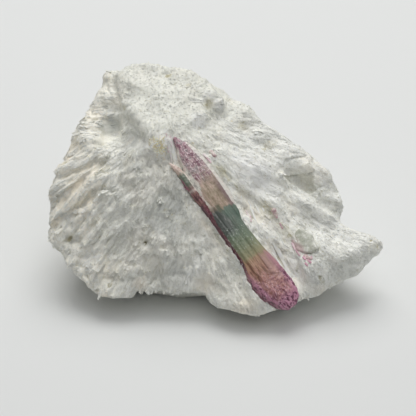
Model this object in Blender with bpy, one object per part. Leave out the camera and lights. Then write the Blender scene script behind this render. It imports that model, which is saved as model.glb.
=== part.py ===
# A tourmaline crystal lying in a broken piece of white albite rock.
# Run it with: blender --background --python part.py
# Every size below is in millimetres. The finished meshes are brought to metres at the end.
# X runs to the right and Y away from the side that shows the crystal. Z is up.

import math

import bmesh
import bpy
from mathutils import Matrix, Vector, bvhtree, noise

TO_METRES = 0.001
FIT_GAP = 0.3
NOISE_ORIGIN = Vector((31.7, 8.3, 54.1))
RIB_ORIGIN = Vector((3.17, 0.83, 5.41))

# The rock's broken lumps, by their corners. What they share is fused.
BODY_FRONT = {
    "left foot": (-26.4, -15.9, 6.9),
    "front foot": (12.1, -20.6, 5.6),
    "front foot right": (18.8, -19.4, 5.6),
    "under the spur": (26.5, -15.5, 7.0),
    "crystal top": (-8.4, 9.0, 37.4),
    "crystal foot": (21.8, -19.6, 7.4),
}
BODY_LEFT = {
    "left corner": (-40.8, -2.7, 19.2),
    "left corner low": (-39.4, -6.9, 15.0),
    "left heel": (-32.6, -10.5, 9.0),
    "left shoulder": (-38.6, 6.0, 27.2),
    "left neck": (-32.6, 15.8, 33.4),
    "left top": (-28.6, 30.3, 38.6),
}
BODY_TOP = {
    "top left": (-27.0, 35.8, 42.3),
    "top middle": (-13.0, 32.4, 44.4),
    "top right": (-0.8, 28.4, 42.8),
    "right brow": (10.5, 21.9, 38.6),
    "right shoulder": (17.0, 16.4, 35.0),
    "right arm": (21.0, 14.2, 32.4),
    "right elbow": (27.2, 10.0, 28.4),
    "right wrist": (34.6, 5.8, 24.2),
    "right notch": (35.4, 2.6, 20.2),
}
BODY_BACK = {
    "back left": (-29.0, 37.5, 26.0),
    "back middle": (-8.0, 40.0, 29.0),
    "back right": (14.0, 35.0, 24.0),
    "back right low": (29.0, 20.0, 14.0),
    "back left low": (-33.0, 25.0, 14.0),
    "right side low": (33.5, 4.0, 10.0),
}
UNDERSIDE = -1.5
BODY_UNDER = {
    "under front left": (-22.0, -4.0, UNDERSIDE),
    "under front": (5.0, -8.5, UNDERSIDE),
    "under front right": (17.0, -11.0, UNDERSIDE),
    "under right": (27.0, -3.0, UNDERSIDE),
    "under right back": (26.0, 10.0, UNDERSIDE),
    "under back": (6.0, 29.0, UNDERSIDE),
    "under back left": (-18.0, 29.0, UNDERSIDE),
    "under left": (-29.0, 12.0, UNDERSIDE),
}
SPUR = {
    "tip": (44.6, -4.3, 13.0),
    "tip top": (42.2, -3.9, 16.0),
    "tip low": (39.6, -8.1, 10.0),
    "edge right": (41.6, -6.6, 15.4),
    "edge middle": (34.1, -10.8, 15.0),
    "edge left": (23.4, -14.4, 14.6),
    "rim right": (33.2, -13.2, 8.0),
    "rim left": (25.0, -17.4, 6.4),
    "saddle right": (38.0, -1.8, 16.8),
    "saddle left": (34.2, -0.2, 18.4),
    "root top": (19.0, 0.0, 21.0),
    "root back": (24.0, 7.0, 12.0),
    "root under": (20.0, -8.0, 3.0),
    "under right": (34.0, 1.0, 7.5),
}
TOP_LOBE = {
    "ledge left": (-19.9, 15.6, 40.4),
    "ledge corner": (-17.9, 11.6, 38.4),
    "ledge front": (-14.4, 8.9, 37.4),
    "ledge right": (-10.4, 9.2, 38.0),
    "over the crystal": (-3.0, 12.0, 39.2),
    "brow right": (6.0, 19.0, 40.8),
    "crest right": (3.6, 23.0, 42.4),
    "crest right back": (-0.6, 27.8, 44.2),
    "crest middle": (-6.0, 29.6, 45.8),
    "crest left": (-16.4, 31.6, 45.8),
    "crest left end": (-23.8, 33.6, 43.2),
    "left end low": (-24.4, 23.0, 40.4),
    "inside front": (-8.0, 14.0, 34.0),
    "inside back": (-10.0, 30.0, 36.0),
}
LONG_RIB = {
    "upper end": (12.0, 7.0, 31.4),
    "upper right": (19.4, 7.2, 28.9),
    "middle left": (19.0, 2.2, 25.6),
    "middle right": (26.2, 3.8, 24.6),
    "lower left": (30.0, -1.6, 20.8),
    "lower right": (34.0, 0.2, 19.6),
    "inside upper": (17.0, 8.0, 24.0),
    "inside lower": (30.0, 2.0, 15.0),
}
LEFT_TOE = {
    "toe left": (-28.0, -14.2, 7.4),
    "toe point": (-25.8, -16.2, 6.8),
    "toe right": (-18.8, -14.8, 7.2),
    "toe top": (-23.6, -12.4, 11.8),
    "toe top right": (-16.5, -13.4, 9.0),
    "toe inside": (-20.0, -6.0, 4.0),
}
FRONT_TOE = {
    "brim left": (3.6, -17.4, 6.2),
    "brim": (11.6, -21.4, 5.0),
    "brim right": (18.4, -19.9, 5.2),
    "brow left": (2.4, -14.6, 9.8),
    "brow": (12.0, -16.6, 11.0),
    "inside": (8.0, -8.0, 4.0),
}

# What is broken out of the rock, by its corners.
ARCH = {
    "left": (-22.0, -17.6, -4.0),
    "left top": (-18.4, -14.9, 7.6),
    "right top": (-1.0, -14.9, 6.9),
    "right": (7.0, -20.0, -4.0),
    "out left": (-24.0, -30.0, -4.0),
    "out left high": (-19.0, -30.0, 9.0),
    "out right high": (-1.0, -30.0, 8.0),
    "out right": (8.0, -30.0, -4.0),
    "in left": (-20.0, -3.0, -3.0),
    "in right": (0.0, -6.0, -3.0),
}
RECESS = {
    "lip left": (17.6, 7.6, 29.2),
    "lip right": (26.8, 8.2, 26.8),
    "lower right": (26.6, 2.6, 22.6),
    "lower left": (20.8, 4.2, 25.4),
    "deep right": (26.8, 6.6, 22.0),
    "deep left": (20.2, 7.4, 25.0),
}
RECESS_REACH = Vector((1.2, -3.4, 4.6))

# Hollows and swellings: centre, then reach, then how far the surface moves out.
SWELLINGS = {
    "shaded hollow under the top": ((-26.0, 14.5, 37.0), (5.0, 8.0, 5.5), -3.0),
    "hollow under the bump": ((2.6, 17.6, 40.2), (4.4, 2.6, 2.6), -1.3),
    "bump": ((1.2, 20.6, 42.4), (4.0, 3.0, 3.0), 1.1),
    "right hollow upper": ((9.2, 15.2, 36.6), (3.4, 3.4, 3.0), -1.5),
    "right hollow lower": ((15.4, 12.0, 32.6), (3.8, 3.2, 3.0), -1.4),
    "shoulder lump": ((29.2, 6.6, 26.0), (3.2, 3.2, 3.2), 1.1),
    "notch": ((-23.4, 34.4, 43.0), (2.0, 3.0, 3.0), -1.0),
    "pit left": ((-15.5, -8.2, 16.9), (1.5, 1.5, 1.9), -1.4),
    "pit foot": ((-24.1, -13.6, 9.6), (2.6, 1.4, 1.4), -1.3),
    "pit corner": ((-34.2, -6.5, 16.9), (2.8, 1.6, 1.4), -1.2),
    "pit right": ((27.0, -13.6, 9.6), (1.9, 1.6, 1.3), -1.1),
    "cream lobe": ((-1.0, -11.6, 11.0), (4.0, 3.6, 4.0), 0.8),
    "left beside the crystal": ((-7.6, 2.0, 29.8), (4.0, 4.4, 5.0), 0.9),
    "back hollow": ((-20.0, 37.0, 30.0), (10.0, 6.0, 7.0), -2.6),
    "back step": ((8.0, 36.0, 24.0), (10.0, 6.0, 5.0), -2.2),
    "back swelling": ((-6.0, 33.0, 13.0), (13.0, 7.0, 4.5), 1.6),
    "right side hollow": ((31.0, 13.0, 18.0), (5.0, 8.0, 5.0), -1.8),
    "left side hollow": ((-35.0, 18.0, 21.0), (5.0, 8.0, 6.0), -1.8),
}

SWELLING_CORE = 0.35
SWELLING_EDGE = 1.25

# Albite blades run out from one place under the crystal's top. The counts are how many
# ribs, blades and steps fit in the width of one radian as seen from there.
FAN_CENTRE = Vector((-10.0, 13.0, 33.0))
RIB_COUNT = 8.5
RIB_HEIGHT = 1.5
RIB_MIDDLE = 0.5
BLADE_COUNT = 17.0
BLADE_HEIGHT = 0.9
BLADE_TWIST = 0.05
LUMP_SIZE = 15.0
LUMP_HEIGHT = 1.3
GRAIN_SIZE = 5.5
GRAIN_HEIGHT = 0.45
STEP_COUNT = 4.0
STEP_SIZE = 7.5
STEP_HEIGHT = 0.7
STEP_SHARPNESS = 0.15
STEP_MIDDLE = 0.5

# Where the blades fade: near the fan's centre, up on the sugary top, away from the
# left corner, and where they would end square on the surface.
BLADE_START = (6.0, 24.0)
BLADE_TOP_FADE = (33.0, 40.0)
BLADE_TOP_SHARE = 0.25
LEFT_CORNER_FADE = (14.0, 34.0)
PLAIN_STRENGTH = 0.7
LEFT_CORNER_STRENGTH = 0.6
END_ON_FADE = (0.35, 0.9)
END_ON_SHARE = 0.15

VOXEL = 0.85
ROCK_TRIANGLES = 8200
BASE_SNAP = 0.0001

# The crystal lies along the ridge between the rock's two front faces.
CRYSTAL_TOP = Vector((-8.4, 9.0, 37.4))
CRYSTAL_END = Vector((21.8, -19.6, 7.4))
CRYSTAL_FACE = Vector((0.07, -0.655, 0.72))
CRYSTAL_PROUD = 0.7
BED_MIDDLE = -1.8
BED_LENGTH = 52.0
BED_END_FADE = 2.0
BED_SIDE_FADE = (2.5, 6.5)
BED_CALM = 0.8

# Distance along the crystal: its right edge, its left edge, how high its face crowns.
CRYSTAL_STATIONS = {
    0.6: (-0.2, -0.6, 0.0),
    2.8: (0.7, -1.3, 0.2),
    5.8: (1.4, -2.6, 0.4),
    9.2: (1.7, -3.3, 0.5),
    12.5: (1.9, -3.9, 0.5),
    16.0: (2.0, -4.7, 0.4),
    19.3: (2.0, -4.9, 0.3),
    22.4: (1.9, -4.9, 0.3),
    24.6: (1.7, -4.9, 0.2),
    26.8: (1.0, -5.0, 0.3),
    30.0: (0.9, -5.1, 0.4),
    33.4: (1.1, -5.0, 0.4),
    36.4: (1.3, -5.1, 0.3),
    39.6: (1.7, -6.2, 0.3),
    42.4: (1.9, -6.6, 0.4),
    45.6: (2.1, -6.2, 0.5),
    48.2: (1.9, -5.1, 0.5),
    50.0: (1.1, -4.1, 0.2),
    51.3: (-0.3, -2.7, -0.3),
}
# Flat strips across the crystal's face: how far across each edge lies, and its height.
FACE_STRIPS = {
    0.0: -0.10,
    0.1: 0.08,
    0.3: 0.16,
    0.36: -0.06,
    0.58: 0.02,
    0.66: 0.17,
    0.86: 0.05,
    1.0: -0.12,
}
FULL_WIDTH = 5.0
RIND_WIDTH = 0.5
RIND_DROP = 1.4
RIGHT_DROP = 0.9
KEEL_POINTS = 7
KEEL_DEPTH = 0.7
KEEL_HALF_WIDTH = 0.47
KEEL_TOP = 0.5
KEEL_CENTRE = 0.23
SIDE_STATIONS = {
    5.0: (-5.1, 0.12, 0.0),
    7.4: (-4.6, 0.75, 0.1),
    10.4: (-4.5, 0.95, 0.2),
    13.6: (-4.6, 0.95, 0.1),
    18.0: (-4.7, 0.8, -0.2),
    24.0: (-4.6, 0.6, -0.5),
}
SIDE_SIDES = 7

# Small tourmaline prisms beside the main one: middle, direction, length, radius.
PINK_CRYSTALS = {
    "pink_crystal_upper": ((1.2, 7.0, 33.2), (0.62, -0.55, -0.52), 2.6, 0.55),
    "pink_crystal_middle": ((16.6, -2.4, 21.8), (0.35, -0.55, -0.75), 2.4, 0.6),
    "pink_crystal_lower": ((24.7, -11.6, 14.2), (0.8, -0.35, -0.45), 2.6, 0.65),
}
PINK_SIDES = 6
PINK_TAPER = 0.72
PINK_PRISM_SHARE = 0.75
PINK_SINK = 0.28

# A glassy quartz grain, by the corners of its flat top, and how deep it sits.
QUARTZ_TOP = {
    "upper left": (20.4, -7.0, 17.6),
    "upper": (22.8, -5.0, 18.4),
    "right": (25.9, -6.4, 16.8),
    "lower right": (27.2, -9.2, 15.0),
    "lower": (24.6, -10.2, 14.8),
    "lower left": (22.0, -9.6, 15.8),
}
QUARTZ_DEPTH = 3.2
QUARTZ_BULGE_DEPTH = 1.4
QUARTZ_BULGE = 0.3
QUARTZ_ROOT = 0.45
QUARTZ_PROUD = 0.3

MATERIALS = {
    "albite": ((0.72, 0.72, 0.68, 1.0), 0.62, 0.0, 1.53),
    "tourmaline": ((0.42, 0.20, 0.24, 1.0), 0.16, 0.35, 1.63),
    "quartz": ((0.46, 0.45, 0.40, 1.0), 0.20, 0.3, 1.54),
}


def remove_everything():
    for item in list(bpy.data.objects):
        bpy.data.objects.remove(item, do_unlink=True)


def make_material(name):
    colour, roughness, transmission, ior = MATERIALS[name]
    material = bpy.data.materials.new(name)
    material.use_nodes = True
    shader = material.node_tree.nodes["Principled BSDF"]
    shader.inputs["Base Color"].default_value = colour
    shader.inputs["Roughness"].default_value = roughness
    shader.inputs["Metallic"].default_value = 0.0
    shader.inputs["Transmission Weight"].default_value = transmission
    shader.inputs["IOR"].default_value = ior
    return material


def add_object(name, shape):
    mesh = bpy.data.meshes.new(name)
    shape.to_mesh(mesh)
    shape.free()
    item = bpy.data.objects.new(name, mesh)
    bpy.context.scene.collection.objects.link(item)
    return item


def take_mesh(item):
    shape = bmesh.new()
    shape.from_mesh(item.data)
    return shape


def drop_object(item):
    mesh = item.data
    bpy.data.objects.remove(item, do_unlink=True)
    bpy.data.meshes.remove(mesh)


def apply_modifiers(item):
    graph = bpy.context.evaluated_depsgraph_get()
    mesh = bpy.data.meshes.new_from_object(item.evaluated_get(graph))
    old_mesh = item.data
    item.modifiers.clear()
    item.data = mesh
    bpy.data.meshes.remove(old_mesh)


def hull_shape(corners):
    shape = bmesh.new()
    for corner in corners:
        shape.verts.new(corner)
    hull = bmesh.ops.convex_hull(shape, input=shape.verts)
    loose = [part for part in hull["geom_interior"] if isinstance(part, bmesh.types.BMVert)]
    bmesh.ops.delete(shape, geom=loose, context="VERTS")
    bmesh.ops.recalc_face_normals(shape, faces=shape.faces)
    return shape


def combine(item, other, operation):
    cutter = item.modifiers.new(operation, "BOOLEAN")
    cutter.operation = operation
    cutter.solver = "EXACT"
    cutter.object = other
    apply_modifiers(item)
    drop_object(other)


def rock_lumps():
    body = {**BODY_FRONT, **BODY_LEFT, **BODY_TOP, **BODY_BACK, **BODY_UNDER}
    rock = add_object("albite_matrix", hull_shape(body.values()))
    for lump in (SPUR, TOP_LOBE, LONG_RIB, LEFT_TOE, FRONT_TOE):
        combine(rock, add_object("lump", hull_shape(lump.values())), "UNION")
    recess = [Vector(corner) for corner in RECESS.values()]
    recess += [corner + RECESS_REACH for corner in recess[:4]]
    for hollow in (list(ARCH.values()), recess):
        combine(rock, add_object("hollow", hull_shape(hollow)), "DIFFERENCE")
    return rock


def remesh(item, voxel):
    modifier = item.modifiers.new("grain", "REMESH")
    modifier.mode = "VOXEL"
    modifier.voxel_size = voxel
    modifier.use_smooth_shade = False
    apply_modifiers(item)


def smooth_step(low, high, value):
    part = min(max((value - low) / (high - low), 0.0), 1.0)
    return part * part * (3.0 - 2.0 * part)


def ridged(value):
    return 1.0 - 2.0 * abs(value)


def blade_strength(point, normal, way, reach):
    """Blades show where they lie along the surface, and fade out on the sugary top."""
    below_top = 1.0 - smooth_step(*BLADE_TOP_FADE, point.z)
    lying = 1.0 - smooth_step(*END_ON_FADE, abs(normal.dot(way)))
    corner = LEFT_CORNER_STRENGTH * smooth_step(*LEFT_CORNER_FADE, -point.x)
    strength = BLADE_TOP_SHARE + (1.0 - BLADE_TOP_SHARE) * below_top
    strength *= END_ON_SHARE + (1.0 - END_ON_SHARE) * lying
    return strength * (PLAIN_STRENGTH + corner) * smooth_step(*BLADE_START, reach)


def swelling_height(point):
    height = 0.0
    for centre, span, rise in SWELLINGS.values():
        away = point - Vector(centre)
        size = Vector((away.x / span[0], away.y / span[1], away.z / span[2])).length
        height += rise * (1.0 - smooth_step(SWELLING_CORE, SWELLING_EDGE, size))
    return height


def surface_height(point, normal):
    """How far the broken surface stands out from the lumps at a point."""
    spoke = point - FAN_CENTRE
    reach = spoke.length
    way = spoke / reach
    ribs = ridged(noise.noise(way * RIB_COUNT + RIB_ORIGIN)) - RIB_MIDDLE
    blades = noise.noise(way * BLADE_COUNT + Vector((0.0, 0.0, reach * BLADE_TWIST)))
    lumps = noise.noise(point / LUMP_SIZE + NOISE_ORIGIN)
    grains = noise.noise(point / GRAIN_SIZE + NOISE_ORIGIN)
    steps = noise.noise(Vector((reach / STEP_SIZE, 0.0, 0.0)) + way * STEP_COUNT)
    step = smooth_step(-STEP_SHARPNESS, STEP_SHARPNESS, steps) - STEP_MIDDLE
    height = RIB_HEIGHT * ribs + BLADE_HEIGHT * blades
    height *= blade_strength(point, normal, way, reach)
    height += LUMP_HEIGHT * lumps + GRAIN_HEIGHT * grains + STEP_HEIGHT * step
    return height + swelling_height(point)


def bed_share(point):
    """How far a point lies in the calm bed that holds the crystal, from 0 to 1."""
    along, across, _ = crystal_axes()
    away = point - CRYSTAL_TOP
    beside = abs(away.dot(across) - BED_MIDDLE)
    distance = away.dot(along)
    started = smooth_step(-BED_END_FADE, BED_END_FADE, distance)
    ended = smooth_step(BED_LENGTH - BED_END_FADE, BED_LENGTH + BED_END_FADE, distance)
    return started * (1.0 - ended) * (1.0 - smooth_step(*BED_SIDE_FADE, beside))


def roughen(item):
    shape = take_mesh(item)
    shape.normal_update()
    moves = []
    for vert in shape.verts:
        calm = 1.0 - BED_CALM * bed_share(vert.co)
        moves.append(vert.normal * surface_height(vert.co, vert.normal) * calm)
    for vert, move in zip(shape.verts, moves):
        vert.co += move
    shape.to_mesh(item.data)
    shape.free()


def thin_out(item, triangles):
    count = sum(len(face.vertices) - 2 for face in item.data.polygons)
    modifier = item.modifiers.new("thin out", "DECIMATE")
    modifier.decimate_type = "COLLAPSE"
    modifier.ratio = triangles / count
    modifier.use_collapse_triangulate = True
    apply_modifiers(item)


def cut_flat_base(item):
    shape = take_mesh(item)
    everything = shape.verts[:] + shape.edges[:] + shape.faces[:]
    cut = bmesh.ops.bisect_plane(
        shape, geom=everything, dist=BASE_SNAP, plane_co=(0, 0, 0), plane_no=(0, 0, -1),
        clear_outer=True, clear_inner=False)
    rim = [part for part in cut["geom_cut"] if isinstance(part, bmesh.types.BMEdge)]
    bmesh.ops.edgenet_fill(shape, edges=rim)
    bmesh.ops.recalc_face_normals(shape, faces=shape.faces)
    shape.to_mesh(item.data)
    shape.free()


def crystal_axes():
    along = (CRYSTAL_END - CRYSTAL_TOP).normalized()
    out = (CRYSTAL_FACE - along * CRYSTAL_FACE.dot(along)).normalized()
    across = out.cross(along)
    return along, across, out


def crystal_point(distance, side, height):
    along, across, out = crystal_axes()
    return CRYSTAL_TOP + along * distance + across * side + out * height


def crystal_ring(distance, right, left, crown, grow):
    """One cross-section: flat strips on top, a steep rind on the left and a keel below."""
    middle = (right + left) / 2.0
    width = right - left
    thickness = min(1.0, width / FULL_WIDTH)
    points = []
    for part, line in FACE_STRIPS.items():
        height = CRYSTAL_PROUD + crown * math.sin(math.pi * part) + line * thickness
        points.append((right + (left - right) * part, height))
    points.append((left - RIND_WIDTH * thickness, CRYSTAL_PROUD - RIND_DROP * thickness))
    for step in range(1, KEEL_POINTS):
        angle = math.pi * step / KEEL_POINTS
        side = middle - math.cos(angle) * width * KEEL_HALF_WIDTH
        points.append((side, -KEEL_DEPTH * width * math.sin(angle) - KEEL_TOP))
    points.append((right, CRYSTAL_PROUD - RIGHT_DROP * thickness))
    centre = Vector((middle, -KEEL_CENTRE * width))
    ring = []
    for point in points:
        flat = Vector(point)
        push = (flat - centre).normalized() * grow
        ring.append(crystal_point(distance, flat.x + push.x, flat.y + push.y))
    return ring


def loft(rings):
    shape = bmesh.new()
    loops = [[shape.verts.new(point) for point in ring] for ring in rings]
    for near, far in zip(loops, loops[1:]):
        for place in range(len(near)):
            after = (place + 1) % len(near)
            shape.faces.new((near[place], near[after], far[after], far[place]))
    for loop in (loops[0], loops[-1]):
        shape.faces.new(loop)
    bmesh.ops.triangulate(shape, faces=shape.faces)
    bmesh.ops.recalc_face_normals(shape, faces=shape.faces)
    return shape


def main_prism(grow):
    stations = list(CRYSTAL_STATIONS.items())
    first, last = stations[0][0], stations[-1][0]
    rings = []
    for distance, (right, left, crown) in stations:
        shift = -grow if distance == first else grow if distance == last else 0.0
        rings.append(crystal_ring(distance + shift, right, left, crown, grow))
    return loft(rings)


def side_prism(grow):
    rings = []
    first = min(SIDE_STATIONS)
    for distance, (side, radius, height) in SIDE_STATIONS.items():
        start = distance - grow if distance == first else distance
        ring = []
        for step in range(SIDE_SIDES):
            angle = 2.0 * math.pi * step / SIDE_SIDES
            across = side + (radius + grow) * math.cos(angle)
            ring.append(crystal_point(start, across, height + (radius + grow) * math.sin(angle)))
        rings.append(ring)
    return loft(rings)


def tourmaline(name, grow=0.0):
    """The main prism with the thin one grown along its left side, as one solid."""
    item = add_object(name, main_prism(grow))
    combine(item, add_object("side prism", side_prism(grow)), "UNION")
    return item


def pink_crystal(name, rock_tree, grow=0.0):
    middle, direction, length, radius = PINK_CRYSTALS[name]
    spot, normal, _, _ = rock_tree.find_nearest(Vector(middle))
    aim = Vector(direction)
    aim = (aim - normal * aim.dot(normal)).normalized()
    turn = aim.to_track_quat("Z", "Y").to_matrix().to_4x4()
    half = length / 2.0 + grow
    shape = bmesh.new()
    bmesh.ops.create_cone(
        shape, cap_ends=True, cap_tris=False, segments=PINK_SIDES, radius1=radius + grow,
        radius2=radius * PINK_TAPER + grow, depth=half * 2.0 * PINK_PRISM_SHARE)
    for face in [face for face in shape.faces if len(face.verts) == PINK_SIDES]:
        tip = bmesh.ops.poke(shape, faces=[face])["verts"][0]
        tip.co.z = math.copysign(half, tip.co.z)
    sink = radius * PINK_SINK
    shape.transform(Matrix.Translation(spot - normal * sink) @ turn)
    bmesh.ops.recalc_face_normals(shape, faces=shape.faces)
    return add_object(name, shape)


def quartz_grain(name, rock_tree, grow=0.0):
    tops = []
    normals = Vector()
    for corner in QUARTZ_TOP.values():
        spot, normal, _, _ = rock_tree.find_nearest(Vector(corner))
        tops.append(spot)
        normals += normal
    out = normals.normalized()
    centre = sum(tops, Vector()) / len(tops)
    corners = []
    for spot in tops:
        flat = spot - out * (spot - centre).dot(out)
        away = (flat - centre).normalized()
        corners.append(flat + out * (QUARTZ_PROUD + grow) + away * grow)
        corners.append(flat - out * QUARTZ_BULGE_DEPTH + away * (grow + QUARTZ_BULGE))
        root = centre + (flat - centre) * QUARTZ_ROOT
        corners.append(root + away * grow - out * (QUARTZ_DEPTH + grow))
    return add_object(name, hull_shape(corners))


def surface_tree(item):
    shape = take_mesh(item)
    tree = bvhtree.BVHTree.FromBMesh(shape)
    shape.free()
    return tree


def keep_largest_body(item):
    """Small crumbs that a cut leaves loose are dropped."""
    shape = take_mesh(item)
    unseen = set(shape.verts)
    bodies = []
    while unseen:
        front = [unseen.pop()]
        body = list(front)
        while front:
            for edge in front.pop().link_edges:
                for vert in edge.verts:
                    if vert in unseen:
                        unseen.remove(vert)
                        front.append(vert)
                        body.append(vert)
        bodies.append(body)
    bodies.sort(key=len)
    for body in bodies[:-1]:
        bmesh.ops.delete(shape, geom=body, context="VERTS")
    bmesh.ops.triangulate(shape, faces=shape.faces)
    shape.to_mesh(item.data)
    shape.free()


def place_in_metres(items):
    """Centre the whole piece over the origin, with its flat base at zero."""
    points = [vert.co for item in items for vert in item.data.vertices]
    middle_x = (min(point.x for point in points) + max(point.x for point in points)) / 2.0
    middle_y = (min(point.y for point in points) + max(point.y for point in points)) / 2.0
    shift = Matrix.Translation((-middle_x, -middle_y, 0.0))
    for item in items:
        item.data.transform(Matrix.Scale(TO_METRES, 4) @ shift)
        item.data.update()


def build():
    remove_everything()
    rock = rock_lumps()
    remesh(rock, VOXEL)
    roughen(rock)
    thin_out(rock, ROCK_TRIANGLES)
    cut_flat_base(rock)
    tree = surface_tree(rock)

    crystal = tourmaline("tourmaline_crystal")
    pinks = [pink_crystal(name, tree) for name in PINK_CRYSTALS]
    quartz = quartz_grain("quartz_grain", tree)
    combine(rock, tourmaline("crystal bed", FIT_GAP), "DIFFERENCE")
    combine(rock, quartz_grain("quartz bed", tree, FIT_GAP), "DIFFERENCE")
    for name in PINK_CRYSTALS:
        bed = pink_crystal(name, tree, FIT_GAP)
        combine(rock, bed, "DIFFERENCE")
    keep_largest_body(rock)

    rock.data.materials.append(make_material("albite"))
    quartz.data.materials.append(make_material("quartz"))
    tourmaline_material = make_material("tourmaline")
    for item in [crystal] + pinks:
        item.data.materials.append(tourmaline_material)
    place_in_metres([rock, crystal, quartz] + pinks)


build()
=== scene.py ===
import itertools
import math

import bmesh
import bpy
import numpy as np
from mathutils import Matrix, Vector, bvhtree


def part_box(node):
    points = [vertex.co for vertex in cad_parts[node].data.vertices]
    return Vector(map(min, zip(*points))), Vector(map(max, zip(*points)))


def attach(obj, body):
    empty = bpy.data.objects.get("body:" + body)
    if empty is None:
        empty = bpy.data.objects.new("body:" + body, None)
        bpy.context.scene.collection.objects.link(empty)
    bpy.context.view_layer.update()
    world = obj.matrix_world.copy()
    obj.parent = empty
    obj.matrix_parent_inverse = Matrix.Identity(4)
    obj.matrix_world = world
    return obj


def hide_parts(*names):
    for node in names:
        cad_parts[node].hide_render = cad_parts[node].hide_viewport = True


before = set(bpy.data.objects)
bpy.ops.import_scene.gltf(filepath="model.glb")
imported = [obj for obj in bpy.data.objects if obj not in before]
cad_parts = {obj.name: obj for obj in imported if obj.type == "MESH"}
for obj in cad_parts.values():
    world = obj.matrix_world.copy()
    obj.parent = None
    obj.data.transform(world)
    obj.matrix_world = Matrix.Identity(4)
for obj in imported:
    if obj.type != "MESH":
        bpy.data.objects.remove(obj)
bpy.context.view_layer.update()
mm = 0.001
weldDistance = 0.002 * mm

# The crystal's own directions, as the solids have them. The rest is placed from these.
crystalTop = Vector(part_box("tourmaline_crystal")[0]) + Vector((1.25, 30.33, 32.93)) * mm
crystalEnd = crystalTop + Vector((30.2, -28.6, -30.0)) * mm
crystalFacing = Vector((0.07, -0.655, 0.72))
alongAxis = (crystalEnd - crystalTop).normalized()
outAxis = (crystalFacing - alongAxis * crystalFacing.dot(alongAxis)).normalized()
acrossAxis = outAxis.cross(alongAxis)


# Camera, light and floor

cameraSettings = {
    "aim": crystalTop + Vector((8.4, -9.0, -15.7)) * mm,
    "elevation": math.radians(35.0),
    "lens": 100.0,
    "sensor": 36.0,
    "framePixels": 416,
    "pixelSize": 0.25 * mm,
}
tilt = cameraSettings["elevation"]
viewForward = (0.0, math.cos(tilt), -math.sin(tilt))
viewUp = (0.0, math.sin(tilt), math.cos(tilt))
toViewer = (0.0, -math.cos(tilt), math.sin(tilt))
frameMiddle = cameraSettings["framePixels"] / 2
perPixel = cameraSettings["sensor"] / cameraSettings["framePixels"] / cameraSettings["lens"]


def makeCamera():
    s = cameraSettings
    back = Vector(toViewer)
    distance = s["pixelSize"] * s["framePixels"] * s["lens"] / s["sensor"]
    data = bpy.data.cameras.new("camera")
    data.lens = s["lens"]
    data.sensor_width = s["sensor"]
    data.clip_start = 0.01
    camera = bpy.data.objects.new("camera", data)
    camera.location = s["aim"] + back * distance
    camera.rotation_euler = (-back).to_track_quat("-Z", "Y").to_euler()
    bpy.context.scene.collection.objects.link(camera)
    bpy.context.scene.camera = camera


def photoRay(px, py):  # the line of sight through a pixel of the 416 x 416 frame
    right, up = Vector((1, 0, 0)), Vector(viewUp)
    way = Vector(viewForward) + right * (px - frameMiddle) * perPixel - up * (py - frameMiddle) * perPixel
    return bpy.context.scene.camera.location, way.normalized()


def pixelsOf(places):  # where places, in mm, fall in the 416 x 416 frame
    away = places * mm - np.array(bpy.context.scene.camera.location)
    depth = away @ np.array(viewForward)
    rise = away @ np.array(viewUp)
    return frameMiddle + away[:, 0] / depth / perPixel, frameMiddle - rise / depth / perPixel


lightSettings = {
    "key": {"place": (-0.01, 0.40, 0.80), "size": 0.8, "power": 5.5, "colour": (1.0, 0.995, 0.985)},
    "fill": {"place": (0.07, -0.12, 0.95), "size": 1.3, "power": 3.9, "colour": (1.0, 1.0, 0.995)},
    "world": {"colour": (0.96, 0.98, 1.0), "strength": 0.18},
    "floor": {"colour": (0.735, 0.745, 0.738), "shade": 0.985, "size": 6.0},
}


def makeLights():
    for name in ("key", "fill"):
        s = lightSettings[name]
        data = bpy.data.lights.new(name, "AREA")
        data.shape = "DISK"
        data.size = s["size"]
        data.energy = s["power"]
        data.color = s["colour"]
        lamp = bpy.data.objects.new(name, data)
        lamp.location = s["place"]
        lamp.rotation_euler = (-Vector(s["place"])).to_track_quat("-Z", "Y").to_euler()
        bpy.context.scene.collection.objects.link(lamp)
    world = bpy.data.worlds.new("world")
    world.use_nodes = True
    background = world.node_tree.nodes["Background"]
    background.inputs["Color"].default_value = (*lightSettings["world"]["colour"], 1.0)
    background.inputs["Strength"].default_value = lightSettings["world"]["strength"]
    bpy.context.scene.world = world
    bpy.context.scene.view_settings.view_transform = "Standard"


# Shader maths

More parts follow.
